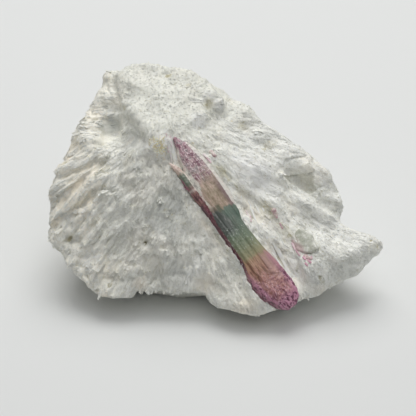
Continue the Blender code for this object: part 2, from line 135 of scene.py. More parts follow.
class Wire:  # one output socket. Arithmetic on it adds Math nodes
    def __init__(self, tree, socket=None):
        self.tree = tree
        self.socket = socket

    def node(self, kind, settings=None, sockets=None, out=0):
        made = self.tree.nodes.new(kind)
        for name, value in (settings or {}).items():
            if name == "stops":
                fillRamp(made.color_ramp, value)
            else:
                setattr(made, name, value)
        for key, value in (sockets or {}).items():
            if isinstance(value, Wire):
                self.tree.links.new(value.socket, made.inputs[key])
            else:
                made.inputs[key].default_value = value
        return Wire(self.tree, made.outputs[out])

    def math(self, operation, first, second):
        return self.node("ShaderNodeMath", {"operation": operation}, {0: first, 1: second})

    def vector(self, operation, first, second):
        return self.node("ShaderNodeVectorMath", {"operation": operation}, {0: first, 1: second})

    def mix(self, under, over):  # a colour, with self as the share of the second one
        sockets = {0: self, 6: opaque(under), 7: opaque(over)}
        return self.node("ShaderNodeMix", {"data_type": "RGBA"}, sockets, 2)

    def ramp(self, low, high):  # 0 below low, 1 above high, eased between
        sockets = {"Value": self, "From Min": low, "From Max": high}
        return self.node("ShaderNodeMapRange", {"interpolation_type": "SMOOTHSTEP"}, sockets)

    def __add__(self, other):
        return self.math("ADD", self, other)

    def __radd__(self, other):
        return self.math("ADD", other, self)

    def __sub__(self, other):
        return self.math("SUBTRACT", self, other)

    def __rsub__(self, other):
        return self.math("SUBTRACT", other, self)

    def __mul__(self, other):
        return self.math("MULTIPLY", self, other)

    def __rmul__(self, other):
        return self.math("MULTIPLY", other, self)


def opaque(colour):  # a plain colour gets its alpha, a wire stays as it is
    return (*colour, 1.0) if isinstance(colour, tuple) else colour


def fillRamp(ramp, stops):
    while len(ramp.elements) > 1:
        ramp.elements.remove(ramp.elements[-1])
    for index, (place, colour) in enumerate(stops):
        stop = ramp.elements[0] if index == 0 else ramp.elements.new(place)
        stop.position = place
        stop.color = opaque(colour)


def newMaterial(name):
    material = bpy.data.materials.new(name)
    material.use_nodes = True
    return material, Wire(material.node_tree), material.node_tree.nodes["Principled BSDF"]


def connect(shader, sockets):  # links for wires, plain values for the rest
    for name, value in sockets.items():
        if isinstance(value, Wire):
            value.tree.links.new(value.socket, shader.inputs[name])
        else:
            shader.inputs[name].default_value = value


def attributeOf(board, name, out="Fac"):
    return board.node("ShaderNodeAttribute", {"attribute_name": name}, out=out)


def noiseOf(board, coordinates, scale, detail=3.0, roughness=0.55):
    sockets = {"Vector": coordinates, "Scale": scale, "Detail": detail, "Roughness": roughness}
    return board.node("ShaderNodeTexNoise", None, sockets)


def bumpOf(board, strength, distance, height):  # the distance in mm
    return board.node("ShaderNodeBump", None, {"Strength": strength, "Distance": distance * mm, "Height": height})


def makeFloor():
    s = lightSettings["floor"]
    bm = bmesh.new()
    bmesh.ops.create_grid(bm, x_segments=1, y_segments=1, size=s["size"] / 2)
    floor = newPiece("floor", bm)
    material, board, shader = newMaterial("pale board")
    place = board.node("ShaderNodeTexCoord", out="Object")
    tone = noiseOf(board, place, 3.0, 2.0).ramp(0.3, 0.7)
    colour = tone.mix(s["colour"], tuple(value * s["shade"] for value in s["colour"]))
    connect(shader, {"Base Color": colour, "Roughness": 0.65, "Specular IOR Level": 0.15})
    floor.data.materials.append(material)


# Making pieces

def newPiece(name, bm):
    mesh = bpy.data.meshes.new(name)
    bm.to_mesh(mesh)
    bm.free()
    piece = bpy.data.objects.new(name, mesh)
    bpy.context.scene.collection.objects.link(piece)
    return piece


def dress(piece, material):
    piece.data.materials.clear()
    piece.data.materials.append(material)
    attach(piece, "root")


def mergedCopy(*nodes):
    bm = bmesh.new()
    for node in nodes:
        bm.from_mesh(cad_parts[node].data)
    bmesh.ops.remove_doubles(bm, verts=bm.verts, dist=weldDistance)
    return bm


def applyModifiers(piece):
    graph = bpy.context.evaluated_depsgraph_get()
    mesh = bpy.data.meshes.new_from_object(piece.evaluated_get(graph))
    piece.modifiers.clear()
    piece.data = mesh


def remesh(piece, voxel):
    modifier = piece.modifiers.new("grain", "REMESH")
    modifier.mode = "VOXEL"
    modifier.voxel_size = voxel
    applyModifiers(piece)


def thinOut(piece, triangles):
    count = sum(len(face.vertices) - 2 for face in piece.data.polygons)
    if count > triangles:
        modifier = piece.modifiers.new("thin out", "DECIMATE")
        modifier.ratio = triangles / count
        applyModifiers(piece)


def smoothed(piece, rounds, above=-1.0):
    bm = bmesh.new()
    bm.from_mesh(piece.data)
    chosen = [vert for vert in bm.verts if vert.co.z > above]
    for _ in range(rounds):
        bmesh.ops.smooth_vert(bm, verts=chosen, factor=0.5, use_axis_x=True, use_axis_y=True, use_axis_z=True)
    bm.to_mesh(piece.data)
    bm.free()


def calmed(piece, weights, rounds):
    group = piece.vertex_groups.new(name="calm")
    for index in np.nonzero(weights > 0.02)[0]:
        group.add([int(index)], min(float(weights[index]), 1.0), "REPLACE")
    modifier = piece.modifiers.new("calm", "SMOOTH")
    modifier.iterations = rounds
    modifier.vertex_group = "calm"
    applyModifiers(piece)
    piece.vertex_groups.clear()


def placesOf(piece):  # every vertex, in mm
    places = np.empty(len(piece.data.vertices) * 3)
    piece.data.vertices.foreach_get("co", places)
    return places.reshape(-1, 3) / mm


def normalsOf(piece):
    normals = np.empty(len(piece.data.vertices) * 3, np.float32)
    piece.data.vertex_normals.foreach_get("vector", normals)
    return normals.reshape(-1, 3)


def moveTo(piece, places):
    piece.data.vertices.foreach_set("co", (places * mm).astype(np.float32).ravel())
    piece.data.update()


def setValues(piece, name, values, kind="FLOAT", domain="POINT"):
    layer = piece.data.attributes.new(name, kind, domain)
    layer.data.foreach_set("value" if kind == "FLOAT" else "vector", np.asarray(values, np.float32).ravel())


def treeOf(piece):
    bm = bmesh.new()
    bm.from_mesh(piece.data)
    tree = bvhtree.BVHTree.FromBMesh(bm)
    bm.free()
    return tree


def clearOf(tree, places):  # how far each place is from the piece in the tree, in mm
    return np.array([tree.find_nearest(Vector(place) * mm)[3] for place in places]) / mm


def eased(low, high, value):
    part = np.clip((value - low) / (high - low), 0.0, 1.0)
    return part * part * (3.0 - 2.0 * part)


def scatter(cells, seed):  # a repeatable number from 0 to 1 for each row of whole numbers
    mixed = cells[:, 0] * 374761393 + cells[:, 1] * 668265263 + cells[:, 2] * 1442695041 + seed * 97531
    mixed = (mixed ^ (mixed >> 13)) * 1274126177
    mixed = (mixed ^ (mixed >> 16)) * 668265263
    return ((mixed >> 8) & 65535) / 65535.0


def softNoise(places, seed=0):  # smooth, from -1 to 1, with about one lump to the unit
    base = np.floor(places)
    part = places - base
    blend = part * part * (3.0 - 2.0 * part)
    cells = base.astype(np.int64)
    total = np.zeros(len(places))
    for corner in itertools.product((0, 1), repeat=3):
        weight = np.prod(np.where(corner, blend, 1.0 - blend), axis=1)
        total += weight * scatter(cells + corner, seed)
    return total * 2.0 - 1.0


def ridged(values):  # rounded crests with sharp valleys between them
    return 1.0 - np.abs(values) * 4.0


# The way that the albite blades lie: a fan from a point under the top of the rock

bladeSettings = {
    "fan": np.array(crystalTop + Vector((-3.1, 8.6, 2.2)) * mm) / mm,
    "lean": math.radians(-24.0),   # the blades low on the left lie flatter than the fan has them
    "bundle": 0.20,                # angle between neighbouring bundles
    "bundleLength": 11.0,
    "waver": 0.20,
    "turn": 0.16,                  # how much a bundle strays from the fan
}
acrossPicture = np.array((1.0, 0.0, 0.0))
upPicture = np.array((0.0, 0.574, 0.819))
upSlope = np.array((0.0, 0.72, 0.694))
outOfSlope = np.array((0.0, -0.694, 0.72))


def bladeField(places):  # the angle of the blades at each place, and each one's bundle
    s = bladeSettings
    away = places - s["fan"]
    right = away @ acrossPicture
    up = away @ upPicture
    reach = np.linalg.norm(away, axis=1)
    angle = np.arctan2(up, right)
    angle += s["lean"] * eased(10.0, 26.0, -up) * eased(-26.0, -4.0, right) * (1.0 - eased(3.0, 13.0, right))
    wavering = angle + s["waver"] * softNoise(places / 6.5, 1)
    row = np.floor(wavering / s["bundle"])
    ring = np.floor(reach / s["bundleLength"] + 0.8 * softNoise(places / 5.0, 2) + row * 0.37)
    bundle = np.stack((row, ring, np.zeros(len(row))), axis=1).astype(np.int64)
    angle = (row + 0.5) * s["bundle"] + s["turn"] * (scatter(bundle, 5) - 0.5) * 2.0
    return angle, bundle, reach


def bladePlaces(places, angle, bundle):  # across, deep and along the blades, in mm
    right = places @ acrossPicture
    slope = places @ upSlope
    across = np.cos(angle) * slope - np.sin(angle) * right
    along = np.cos(angle) * right + np.sin(angle) * slope
    shift = scatter(bundle, 7) * 40.0
    return np.stack((across + shift, places @ outOfSlope, along + shift), axis=1)


def bladeWays(angle):
    return np.cos(angle)[:, None] * acrossPicture + np.sin(angle)[:, None] * upSlope


# The rock

rockSettings = {
    "voxel": 0.35 * mm,
    "triangles": 194000,
    "smoothing": 8,
    "topSmoothing": 30,
    "topFrom": 29.0,                   # in mm, where the smoother top starts
    "calmRounds": 200,
    "ribs": (2.9, 22.0, 0.12, 0.34),   # width and length in mm, height, and height in the left corner
    "leftRibs": (1.5, 26.0, 0.15),
    "blades": (1.15, 8.0, 0.12),
    "laths": (0.6, 4.5, 0.08),
    "steps": 0.24,
    "rightCalm": 0.65,
    "lumps": (4.6, 0.34),
    "sugar": (0.9, 0.13),
    "pits": (1.9, 0.26),
    "underCrystal": 0.7,       # how deep the rock lies under the face of the tourmaline
    "besideCrystal": 0.5,      # how high it rises along the left of it
    "underSmall": 0.05,
    "crystalReach": 2.6,       # how near to the tourmaline the rock is fitted to it, in mm
    "smallReach": 1.2,
    "leftCream": 0.6,          # how much of the cream tint the left corner has all over
    "lookFrom": 6.0,           # from how far out, and how far, a line looks for a crystal over the rock
    "lookLength": 9.0,
    "facetCover": 0.55,        # how much of the relief a broken face hides
}
rockPits = {  # pixel, reach across and along the blades in mm, depth in mm
    "left": (145, 243, 0.5, 0.8, 0.8),
    "foot": (110, 285, 0.5, 1.2, 0.6),
    "corner": (70, 239, 0.4, 1.3, 0.6),
    "brown dot": (158, 217, 0.35, 0.35, 0.4),
    "right": (320, 278, 0.5, 1.0, 0.7),
    "tip dot": (371, 241, 0.4, 0.4, 0.4),
    "lobe": (252, 218, 0.5, 0.8, 0.5),
    "beside laths": (283, 241, 0.4, 1.0, 0.5),
    "under the lobe": (190, 262, 0.4, 2.4, 0.6),
    "knob": (107, 77, 1.8, 2.0, -0.8),           # a depth below 0 is a bump
    "beside the knob": (115, 89, 1.0, 1.6, 0.4),
    "on the ledge": (132, 112, 2.4, 2.4, -0.6),
    "on the ledge low": (146, 128, 2.0, 2.0, -0.5),
    "top bump": (207, 97, 2.0, 1.6, -0.4),
    "hollow under it": (219, 105, 4.0, 3.4, -0.4),
    "middle of the hollow": (219, 105, 1.8, 1.8, -0.6),
    "upper hollow": (244, 120, 6.0, 5.0, -0.5),
    "middle hollow": (266, 140, 5.0, 4.0, -0.4),
    "under the top": (196, 104, 2.6, 3.0, -0.4),
    "beside the crystal": (253, 170, 4.0, 5.5, -0.5),
    "stain": (158, 148, 4.2, 4.2, -1.1),
    "right slope": (310, 203, 2.0, 4.5, -0.6),
    "spur tip": (376, 252, 1.6, 2.2, -0.7),
    "dark rib": (101, 187, 2.4, 4.0, -1.1),
}
calmSpots = {  # where the rock's skin is smooth and full: pixel, reach in mm, strength
    "under the bump": (219, 105, 5.0, 5.0, 1.0),
    "upper hollow": (245, 121, 7.0, 7.0, 1.0),
    "middle hollow": (266, 139, 6.0, 6.0, 1.0),
    "shoulder": (289, 152, 5.0, 5.0, 0.8),
    "beside the crystal": (254, 173, 6.0, 7.0, 1.0),
    "right slope": (300, 215, 6.0, 6.0, 0.6),
    "ledge": (129, 110, 5.0, 5.0, 0.9),
    "ledge low": (143, 132, 4.0, 4.0, 0.9),
    "stain": (157, 149, 5.0, 5.0, 1.0),
    "toe": (257, 314, 3.0, 3.0, 1.0),
}
rockFacets = {  # broken faces: three pixels with the height in mm at each, other corners, softness in pixels
    "left facet": (((99, 104), -0.2), ((121, 108), -0.8), ((104, 146), -0.9), ((119, 138),), 7.0),
    "ledge": (((124, 114), 0.3), ((148, 139), 0.5), ((168, 124), 0.2), ((142, 98),), 4.0),
    "under the ledge": (((112, 136), -0.3), ((131, 131), -0.5), ((148, 143), -0.4), ((136, 156),), 4.0),
    "recess": (((281, 178), 0.1), ((313, 173), 0.5), ((313, 196), -0.6), (), 1.5),
    "above the recess": (((280, 176), 0.7), ((313, 171), 1.1), ((307, 155), -0.3), ((285, 159),), 2.0),
    "right riser": (((314, 174), 0.5), ((314, 196), 0.1), ((322, 180), -0.2), ((320, 198),), 2.0),
}
tintAndLightSpots = {  # tints of the rock, with painted light and painted shade in the light and grey groups and in part of the olive one: pixel, reach across and along the blades in mm, strength
    "cream": {
        "left ridge": (82, 182, 2.2, 6.5, 1.1),
        "left ridge low": (62, 203, 1.2, 4.0, 0.8),
        "left corner": (56, 222, 1.4, 3.4, 0.9),
        "left edge": (66, 160, 1.2, 2.0, 0.8),
        "left face": (85, 200, 5.0, 7.0, 0.5),
        "above the stain": (131, 141, 1.0, 2.2, 0.7),
        "middle front": (120, 150, 1.0, 3.0, 0.5),
        "foot": (140, 284, 2.4, 2.2, 1.0),
        "foot face": (112, 268, 5.0, 4.5, 0.5),
        "right foot": (300, 287, 4.5, 3.0, 0.6),
        "toe": (104, 293, 2.0, 2.0, 0.5),
        "lobe": (204, 284, 3.4, 4.4, 0.9),
        "lobe upper": (186, 262, 2.0, 3.4, 0.4),
        "front toe": (246, 306, 3.4, 2.4, 0.8),
        "right laths": (272, 248, 2.2, 5.0, 0.8),
        "right of the crystal": (248, 208, 3.0, 8.0, 0.6),
        "right middle": (272, 224, 4.0, 6.0, 0.6),
        "under the recess": (290, 205, 2.0, 6.0, 0.4),
        "right low": (292, 283, 2.6, 2.2, 0.8),
        "bump": (212, 103, 1.6, 1.6, 0.7),
        "beside the rind": (207, 228, 1.0, 5.0, 0.6),
        "under the spur": (320, 290, 3.0, 3.0, 0.5),
    },
    # olive stains of the stone; under the bump and in the two upper hollows the olive is painted shade
    "olive": {
        "top spot": (168, 76, 1.2, 0.8, 1.5),
        "top streak": (188, 85, 1.2, 1.0, 0.8),
        "under the bump": (208, 104, 2.6, 1.6, 0.9),
        "hollow": (243, 126, 2.2, 1.6, 0.7),
        "hollow low": (268, 146, 2.4, 1.6, 0.6),
        "beside the crystal": (223, 172, 1.5, 4.0, 0.9),
        "right specks": (266, 208, 2.6, 4.0, 0.7),
        "right specks low": (285, 230, 2.0, 4.0, 0.5),
        "crystal side": (240, 190, 1.6, 5.0, 0.5),
        "left of the crystal": (216, 236, 1.0, 5.0, 0.6),
        "left front": (128, 160, 2.0, 5.0, 0.5),
        "left streak": (100, 172, 1.2, 5.0, 0.6),
        "laths": (282, 262, 1.6, 3.2, 0.7),
        "pit": (145, 243, 0.6, 1.0, 1.8),
        "corner pit": (70, 239, 0.8, 1.6, 1.2),
        "foot pit": (110, 286, 0.9, 1.0, 1.2),
        "right pit": (320, 278, 1.0, 1.4, 1.0),
        "tip": (377, 246, 1.0, 1.4, 0.8),
        "left edge": (65, 163, 0.8, 1.4, 1.0),
        "facet corner": (124, 108, 1.0, 1.6, 0.9),
        "upper edge": (228, 100, 1.4, 1.4, 0.6),
        "recess edge": (310, 168, 0.8, 2.0, 0.6),
    },
    "rust": {
        "needles": (159, 146, 2.2, 3.0, 1.3),
        "needle foot": (165, 154, 0.8, 1.6, 1.0),
        "upper needles": (151, 141, 1.2, 1.6, 0.9),
        "left of the needles": (140, 140, 0.5, 1.2, 0.8),
        "brown dot": (158, 217, 0.4, 0.4, 2.0),
        "tip dot": (371, 241, 0.45, 0.45, 2.0),
        "upper right": (232, 121, 0.5, 0.8, 0.9),
        "upper right low": (269, 142, 0.4, 0.6, 0.9),
        "right specks": (268, 206, 0.5, 0.8, 0.9),
        "right specks low": (258, 215, 0.4, 0.6, 0.8),
        "beside the top": (193, 143, 0.4, 0.5, 0.9),
        "foot": (120, 262, 0.3, 0.4, 0.9),
    },
    "pink": {
        "beside the top": (212, 154, 0.4, 1.6, 0.6),
        "halo": (169, 141, 0.9, 2.2, 0.5),
        "streak": (207, 159, 0.5, 1.6, 1.2),
        "right": (276, 214, 0.4, 1.0, 1.0),
        "right low": (281, 226, 0.3, 0.9, 0.8),
        "quartz edge": (293, 247, 0.4, 1.8, 0.9),
        "low right": (306, 259, 0.9, 1.4, 1.1),
        "crystal foot": (286, 276, 0.4, 1.4, 0.5),
        "crystal side": (247, 222, 0.4, 1.6, 0.7),
        "left edge": (186, 189, 0.3, 0.6, 1.0),
    },
    # painted light: places that lie in shade are painted lighter, towards the glint white
    "light": {
        "stain": (160, 147, 4.5, 4.5, 1.2),
        "beside the crystal": (254, 172, 5.0, 8.0, 1.2),
        "under the top": (199, 121, 3.0, 3.0, 1.1),
        "under the bump": (220, 106, 2.0, 2.0, 1.2),
        "bump": (208, 98, 2.6, 2.4, 0.8),
        "crystal side": (226, 188, 2.0, 6.0, 0.6),
        "lobe": (192, 275, 5.0, 6.0, 0.5),
        "left low": (85, 262, 4.0, 5.0, 0.4),
    },
    # painted shade: the facet, the places under it and under the ledge, the recess and the faces turned from the
    # light are painted grey
    "grey": {
        "facet": (106, 126, 3.2, 5.4, 1.6),
        "under the facet": (97, 143, 2.4, 4.0, 0.6),
        "under the ledge": (132, 141, 2.4, 3.6, 0.7),
        "left corner": (64, 200, 6.0, 8.0, 0.6),
        "recess": (304, 184, 1.6, 2.6, 0.35),
        "front middle": (165, 215, 7.0, 8.0, 0.65),
        "front low": (170, 265, 8.0, 5.0, 0.5),
        "upper front": (140, 165, 3.0, 5.0, 0.5),
        "spur face": (345, 268, 5.0, 4.0, 0.5),
        "beside the crystal": (224, 170, 1.4, 4.0, 0.8),
    },
}


def lyingShare(angle, normals, reach):  # 1 where blades lie along the surface, 0 where they end square on it
    ending = np.abs((bladeWays(angle) * normals).sum(axis=1))
    return (1.0 - eased(0.45, 0.95, ending)) * eased(3.0, 14.0, reach)


def sugaryShare(places):  # the top of the rock is sugar, with few blades
    return eased(33.0, 40.0, places[:, 2] + 2.0 * softNoise(places / 4.0, 11))


def rightward(places):  # how far a place lies right of the line of the tourmaline
    return places[:, 0] + 0.3 * (places[:, 2] - 20.0)


def leftShare(places):
    return eased(-22.0, -30.0, places[:, 0] + 2.5 * softNoise(places / 5.0, 12))


def spotCentre(tree, px, py):
    start, way = photoRay(px, py)
    return np.array(tree.ray_cast(start, way)[0]) / mm


def spotWeights(places, tree, spots):  # soft ellipses that lie along the blades
    total = np.zeros(len(places))
    for px, py, across, along, strength in spots.values():
        centre = spotCentre(tree, px, py)
        way = bladeWays(bladeField(centre[None, :])[0])[0]
        away = places - centre
        lengthwise = away @ way
        sideways = np.linalg.norm(away - lengthwise[:, None] * way, axis=1)
        total += strength * (1.0 - eased(0.25, 1.2, np.hypot(lengthwise / along, sideways / across)))
    return total


def facetShares(places, normals):  # how much of each broken face is at a place, and its height there
    px, py = pixelsOf(places)
    seen = eased(0.0, 0.3, normals @ np.array(toViewer))
    for first, second, third, rest, soft in rockFacets.values():
        corners = np.array([first[0], second[0], third[0], *rest], float)
        plane = np.linalg.solve(np.array([(*corner, 1.0) for corner in corners[:3]]), [first[1], second[1], third[1]])
        middle = corners.mean(axis=0)
        turn = np.argsort(np.arctan2(*(corners - middle).T[::-1]))
        inside = np.full(len(places), 1e9)
        for here, there in zip(corners[turn], corners[np.roll(turn, -1)]):
            edge = (there - here) / np.linalg.norm(there - here)
            inside = np.minimum(inside, edge[0] * (py - here[1]) - edge[1] * (px - here[0]))
        yield eased(-soft / 2, soft / 2, inside) * seen, plane[0] * px + plane[1] * py + plane[2]


def rockRelief(places, normals, tree):
    s = rockSettings
    angle, bundle, reach = bladeField(places)
    blades = bladePlaces(places, angle, bundle)
    sugary = sugaryShare(places)
    lying = lyingShare(angle, normals, reach) * (1.0 - 0.8 * sugary)
    left = leftShare(places)
    calm = 1.0 - s["rightCalm"] * eased(-6.0, 8.0, rightward(places))

    def along(width, length, seed):
        return softNoise(blades / (width, width, length), seed)
    height = lying * (s["ribs"][2] + (s["ribs"][3] - s["ribs"][2]) * left) * calm * ridged(along(*s["ribs"][:2], 21))
    height += lying * left * s["leftRibs"][2] * ridged(along(*s["leftRibs"][:2], 27))
    height += lying * (0.4 + 0.6 * calm) * s["blades"][2] * ridged(along(*s["blades"][:2], 22))
    height += lying * (0.5 + 0.5 * calm) * s["laths"][2] * along(*s["laths"][:2], 23)
    height += calm * s["steps"] * (scatter(bundle, 9) - 0.5) * (1.0 - 0.7 * sugary) * eased(2.0, 8.0, reach)
    height += calm * s["lumps"][1] * softNoise(places / s["lumps"][0], 24)
    height += s["sugar"][1] * softNoise(places / s["sugar"][0], 25) * (0.8 + 0.6 * sugary)
    height -= s["pits"][1] * eased(0.5, 0.68, softNoise(places / s["pits"][0], 26))
    for share, level in facetShares(places, normals):
        height = height * (1.0 - s["facetCover"] * share) + level * share
    return height - spotWeights(places, tree, rockPits)


def standsOver(places, tree, facing):  # 1 where a crystal stands in front of the rock's skin
    s = rockSettings
    starts = [Vector(place) * mm + facing * s["lookFrom"] * mm for place in places]
    hits = [tree.ray_cast(start, -facing, s["lookLength"] * mm)[0] for start in starts]
    return np.array([hit is not None for hit in hits], float)


def settleSmall(places, normals, tree):  # the rock's skin sinks under a small crystal
    s = rockSettings
    clear = clearOf(tree, places)
    near = np.nonzero((clear < s["smallReach"]) & (normals @ np.array(rightFacing) > 0.0))[0]
    out = np.zeros(len(places))
    out[near] = -s["underSmall"] * standsOver(places[near], tree, rightFacing)
    return out[:, None] * np.array(rightFacing)


def settleCrystal(places, normals, crystalTree):  # the rock meets the tourmaline all along its edge
    s = rockSettings
    facing = normals @ np.array(outAxis) > 0.0
    clear = clearOf(crystalTree, places)
    near = np.nonzero((clear < s["crystalReach"]) & facing)[0]
    sunk = standsOver(places[near], crystalTree, outAxis)
    across = (places[near] - np.array(crystalTop) / mm) @ np.array(acrossAxis)
    along = (places[near] - np.array(crystalTop) / mm) @ np.array(alongAxis)
    rim = (1.0 - sunk) * (1.0 - eased(0.3, 2.4, clear[near])) * eased(0.0, -3.0, across) * eased(7.0, 12.0, along)
    rim *= 1.0 + 0.8 * softNoise(places[near] / 1.3, 28)
    out = np.zeros(len(places))
    out[near] = s["besideCrystal"] * rim - s["underCrystal"] * sunk
    return out[:, None] * np.array(outAxis), clear


def makeRock(crystalTree, smallTrees):
    s = rockSettings
    rock = newPiece("albiteRock", mergedCopy(*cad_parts))
    remesh(rock, s["voxel"])
    smoothed(rock, s["smoothing"])
    smoothed(rock, s["topSmoothing"], s["topFrom"] * mm)
    calmed(rock, spotWeights(placesOf(rock), treeOf(rock), calmSpots), s["calmRounds"])
    tree = treeOf(rock)
    places = placesOf(rock)
    normals = normalsOf(rock)
    settle, clear = settleCrystal(places, normals, crystalTree)
    for smallTree in smallTrees:
        settle += settleSmall(places, normals, smallTree)
    relief = rockRelief(places, normals, tree) * eased(-0.3, 0.8, clear)
    moveTo(rock, places + normals * relief[:, None] + settle)
    thinOut(rock, s["triangles"])
    flattenBase(rock)
    tree = treeOf(rock)
    markTintsAndLight(rock, placesOf(rock), tree)
    markBlades(rock)
    rock.data.shade_smooth()
    return rock, tree


def flattenBase(piece):  # nothing may reach below the surface that the rock rests on
    places = placesOf(piece)
    places[:, 2] = np.maximum(places[:, 2], 0.0)
    moveTo(piece, places)


def tintsAndLightAt(places, tree):  # how strong each tint, and each painted light and shade, is at each place
    tints = {tint: spotWeights(places, tree, spots) for tint, spots in tintAndLightSpots.items()}
    tints["sugary"] = sugaryShare(places)
    # painted light: the right side is painted lighter, standing in for the light that falls on it
    tints["bright"] = eased(-4.0, 12.0, rightward(places))
    return tints


def markTintsAndLight(piece, places, tree):
    tints = tintsAndLightAt(places, tree)
    tints["cream"] += rockSettings["leftCream"] * leftShare(places)
    for tint, strengths in tints.items():
        setValues(piece, tint, strengths)


def markBlades(piece):  # each face reads the blades of its own bundle, so that bundles meet in a clean break
    mesh = piece.data
    centres = np.empty(len(mesh.polygons) * 3)
    mesh.polygons.foreach_get("center", centres)
    totals = np.empty(len(mesh.polygons), np.int32)
    mesh.polygons.foreach_get("loop_total", totals)
    corners = np.empty(len(mesh.loops), np.int32)
    mesh.loops.foreach_get("vertex_index", corners)
    angle, bundle, _ = bladeField(centres.reshape(-1, 3) / mm)
    blades = bladePlaces(placesOf(piece)[corners], np.repeat(angle, totals), np.repeat(bundle, totals, axis=0))
    setValues(piece, "blades", blades, "FLOAT_VECTOR", "CORNER")


# Loose-looking laths and grains that stand in the rock's skin

lathSettings = {  # sizes in mm, turns sideways, up and round in radians
    "laths": {
        "count": 3500,
        "length": (0.8, 2.4),
        "width": (0.2, 0.5),
        "thick": (0.10, 0.2),
        "proud": -0.02,
        "turns": (0.10, 0.02, 0.14),
    },
    "grains": {"count": 9000, "size": (0.2, 0.46), "proud": -0.03, "turns": (1.5, 0.4, 0.4)},
    "clear": 0.25,
}


def spreadOver(piece, count, seed, share):  # places all over the piece, thinner where the share is low
    mesh = piece.data
    mesh.calc_loop_triangles()
    corners = np.empty(len(mesh.loop_triangles) * 3, np.int32)
    mesh.loop_triangles.foreach_get("vertices", corners)
    corners = corners.reshape(-1, 3)
    places = placesOf(piece)
    sides = places[corners]
    normals = np.cross(sides[:, 1] - sides[:, 0], sides[:, 2] - sides[:, 0])
    areas = np.linalg.norm(normals, axis=1)
    normals = normals / areas[:, None]
    weights = areas * share(sides.mean(axis=1), normals)
    dice = np.random.default_rng(seed)
    chosen = dice.choice(len(areas), count, p=weights / weights.sum())
    mixes = dice.dirichlet((1.0, 1.0, 1.0), count)
    smooth = normalsOf(piece)[corners[chosen]].mean(axis=1)
    smooth /= np.linalg.norm(smooth, axis=1)[:, None]
    return (sides[chosen] * mixes[:, :, None]).sum(axis=1), smooth, dice


def manyOf(name, bm, centres, axes, sizes, tone, tree, stray):  # one mesh of many turned copies of a small shape
    corners = np.array([vert.co for vert in bm.verts])
    local = corners[None, :, :] * (1.0 + stray) * sizes[:, None, :]
    places = centres[:, None, :] + np.einsum("nvk,nkx->nvx", local, axes)
    places[:, :, 2] = np.maximum(places[:, :, 2], 0.0)
    piece = newPiece(name, bm)
    copies = piece.modifiers.new("copies", "ARRAY")
    copies.use_relative_offset = False
    copies.count = len(centres)
    applyModifiers(piece)
    moveTo(piece, places.reshape(-1, 3))
    for tint, strengths in tintsAndLightAt(centres, tree).items():
        setValues(piece, tint, np.repeat(strengths, len(corners)))
    setValues(piece, "tone", np.repeat(tone, len(corners)))
    own = local[:, :, (1, 2, 0)] + (tone * 40.0)[:, None, None]
    setValues(piece, "blades", own.reshape(-1, 3), "FLOAT_VECTOR")
    return piece


def cubeShape():
    bm = bmesh.new()
    bmesh.ops.create_cube(bm, size=1.0)
    return bm


def turned(ways, normals, dice, sway, pitch, roll):  # axes along, across and out of each lath
    side = np.cross(normals, ways)
    side /= np.linalg.norm(side, axis=1)[:, None]
    along = np.cross(side, normals)
    count = len(ways)

    def turn(first, second, spread):
        angle = dice.normal(0.0, spread, count)[:, None]
        return first * np.cos(angle) + second * np.sin(angle), second * np.cos(angle) - first * np.sin(angle)
    along, side = turn(along, side, sway)
    along, out = turn(along, normals, pitch)
    side, out = turn(side, out, roll)
    return np.stack((along, side, out), axis=1)


def spreadClear(rock, crystalTree, count, seed, share):  # places on the rock, none of them at the tourmaline
    centres, normals, dice = spreadOver(rock, count, seed, share)
    keep = clearOf(crystalTree, centres) > lathSettings["clear"]
    return centres[keep], normals[keep], dice


def makeLaths(name, rock, tree, crystalTree, seed, wanted):
    s = lathSettings["laths"]

    def share(places, normals):
        angle, _, reach = bladeField(places)
        low = eased(-0.35, 0.15, normals[:, 2]) * (1.0 - 0.7 * leftShare(places))
        return lyingShare(angle, normals, reach) * (1.0 - 0.9 * sugaryShare(places)) * low * wanted(places) + 1e-9
    centres, normals, dice = spreadClear(rock, crystalTree, s["count"], seed, share)
    count = len(centres)
    angle, bundle, _ = bladeField(centres)
    axes = turned(bladeWays(angle), normals, dice, *s["turns"])
    sizes = np.stack([dice.uniform(*s[key], count) for key in ("length", "width", "thick")], axis=1)
    sizes[:, 1] *= 1.0 + 0.5 * leftShare(centres)
    centres = centres + normals * (s["proud"] - sizes[:, 2:] * 0.5 + dice.uniform(-0.06, 0.06, (count, 1)))
    stray = dice.uniform(-0.25, 0.25, (count, 8, 3))
    tone = 0.5 * scatter(bundle, 31) + 0.5 * dice.uniform(0.0, 1.0, count)
    return manyOf(name, cubeShape(), centres, axes, sizes, tone, tree, stray)


def makeGrains(name, rock, tree, crystalTree, seed, wanted):
    s = lathSettings["grains"]

    def share(places, normals):
        return wanted(places) * eased(-0.7, -0.1, normals[:, 2]) + 1e-9
    centres, normals, dice = spreadClear(rock, crystalTree, s["count"], seed, share)
    count = len(centres)
    ways = dice.normal(0.0, 1.0, (count, 3))
    axes = turned(ways, normals, dice, *s["turns"])
    sizes = dice.uniform(*s["size"], (count, 1)) * dice.uniform(0.7, 1.3, (count, 3))
    centres = centres + normals * (s["proud"] - sizes[:, 2:] * 0.5 + dice.uniform(-0.06, 0.08, (count, 1)))
    stray = dice.uniform(-0.3, 0.3, (count, 8, 3))
    return manyOf(name, cubeShape(), centres, axes, sizes, dice.uniform(0.0, 1.0, count), tree, stray)


albiteSettings = {
    "white": (0.89, 0.885, 0.815),
    # painted light: the lighter white of the right side
    "bright": (0.955, 0.955, 0.895),
    # painted shade: the darker white of the sugary top, against the strong light from above
    "top": (0.83, 0.83, 0.755),
    "shade": (0.63, 0.64, 0.585),
    "speck": (0.64, 0.62, 0.51),
    # painted glints on the light specks, and the white of the painted light spots
    "glint": (0.97, 0.97, 0.93),
    "olive": (0.52, 0.48, 0.31),
    "cream": (0.90, 0.845, 0.73),
    # the painted shade colour of the grey spots
    "grey": (0.55, 0.565, 0.53),
    "rust": (0.80, 0.71, 0.46),
    "pink": (0.60, 0.36, 0.40),
}


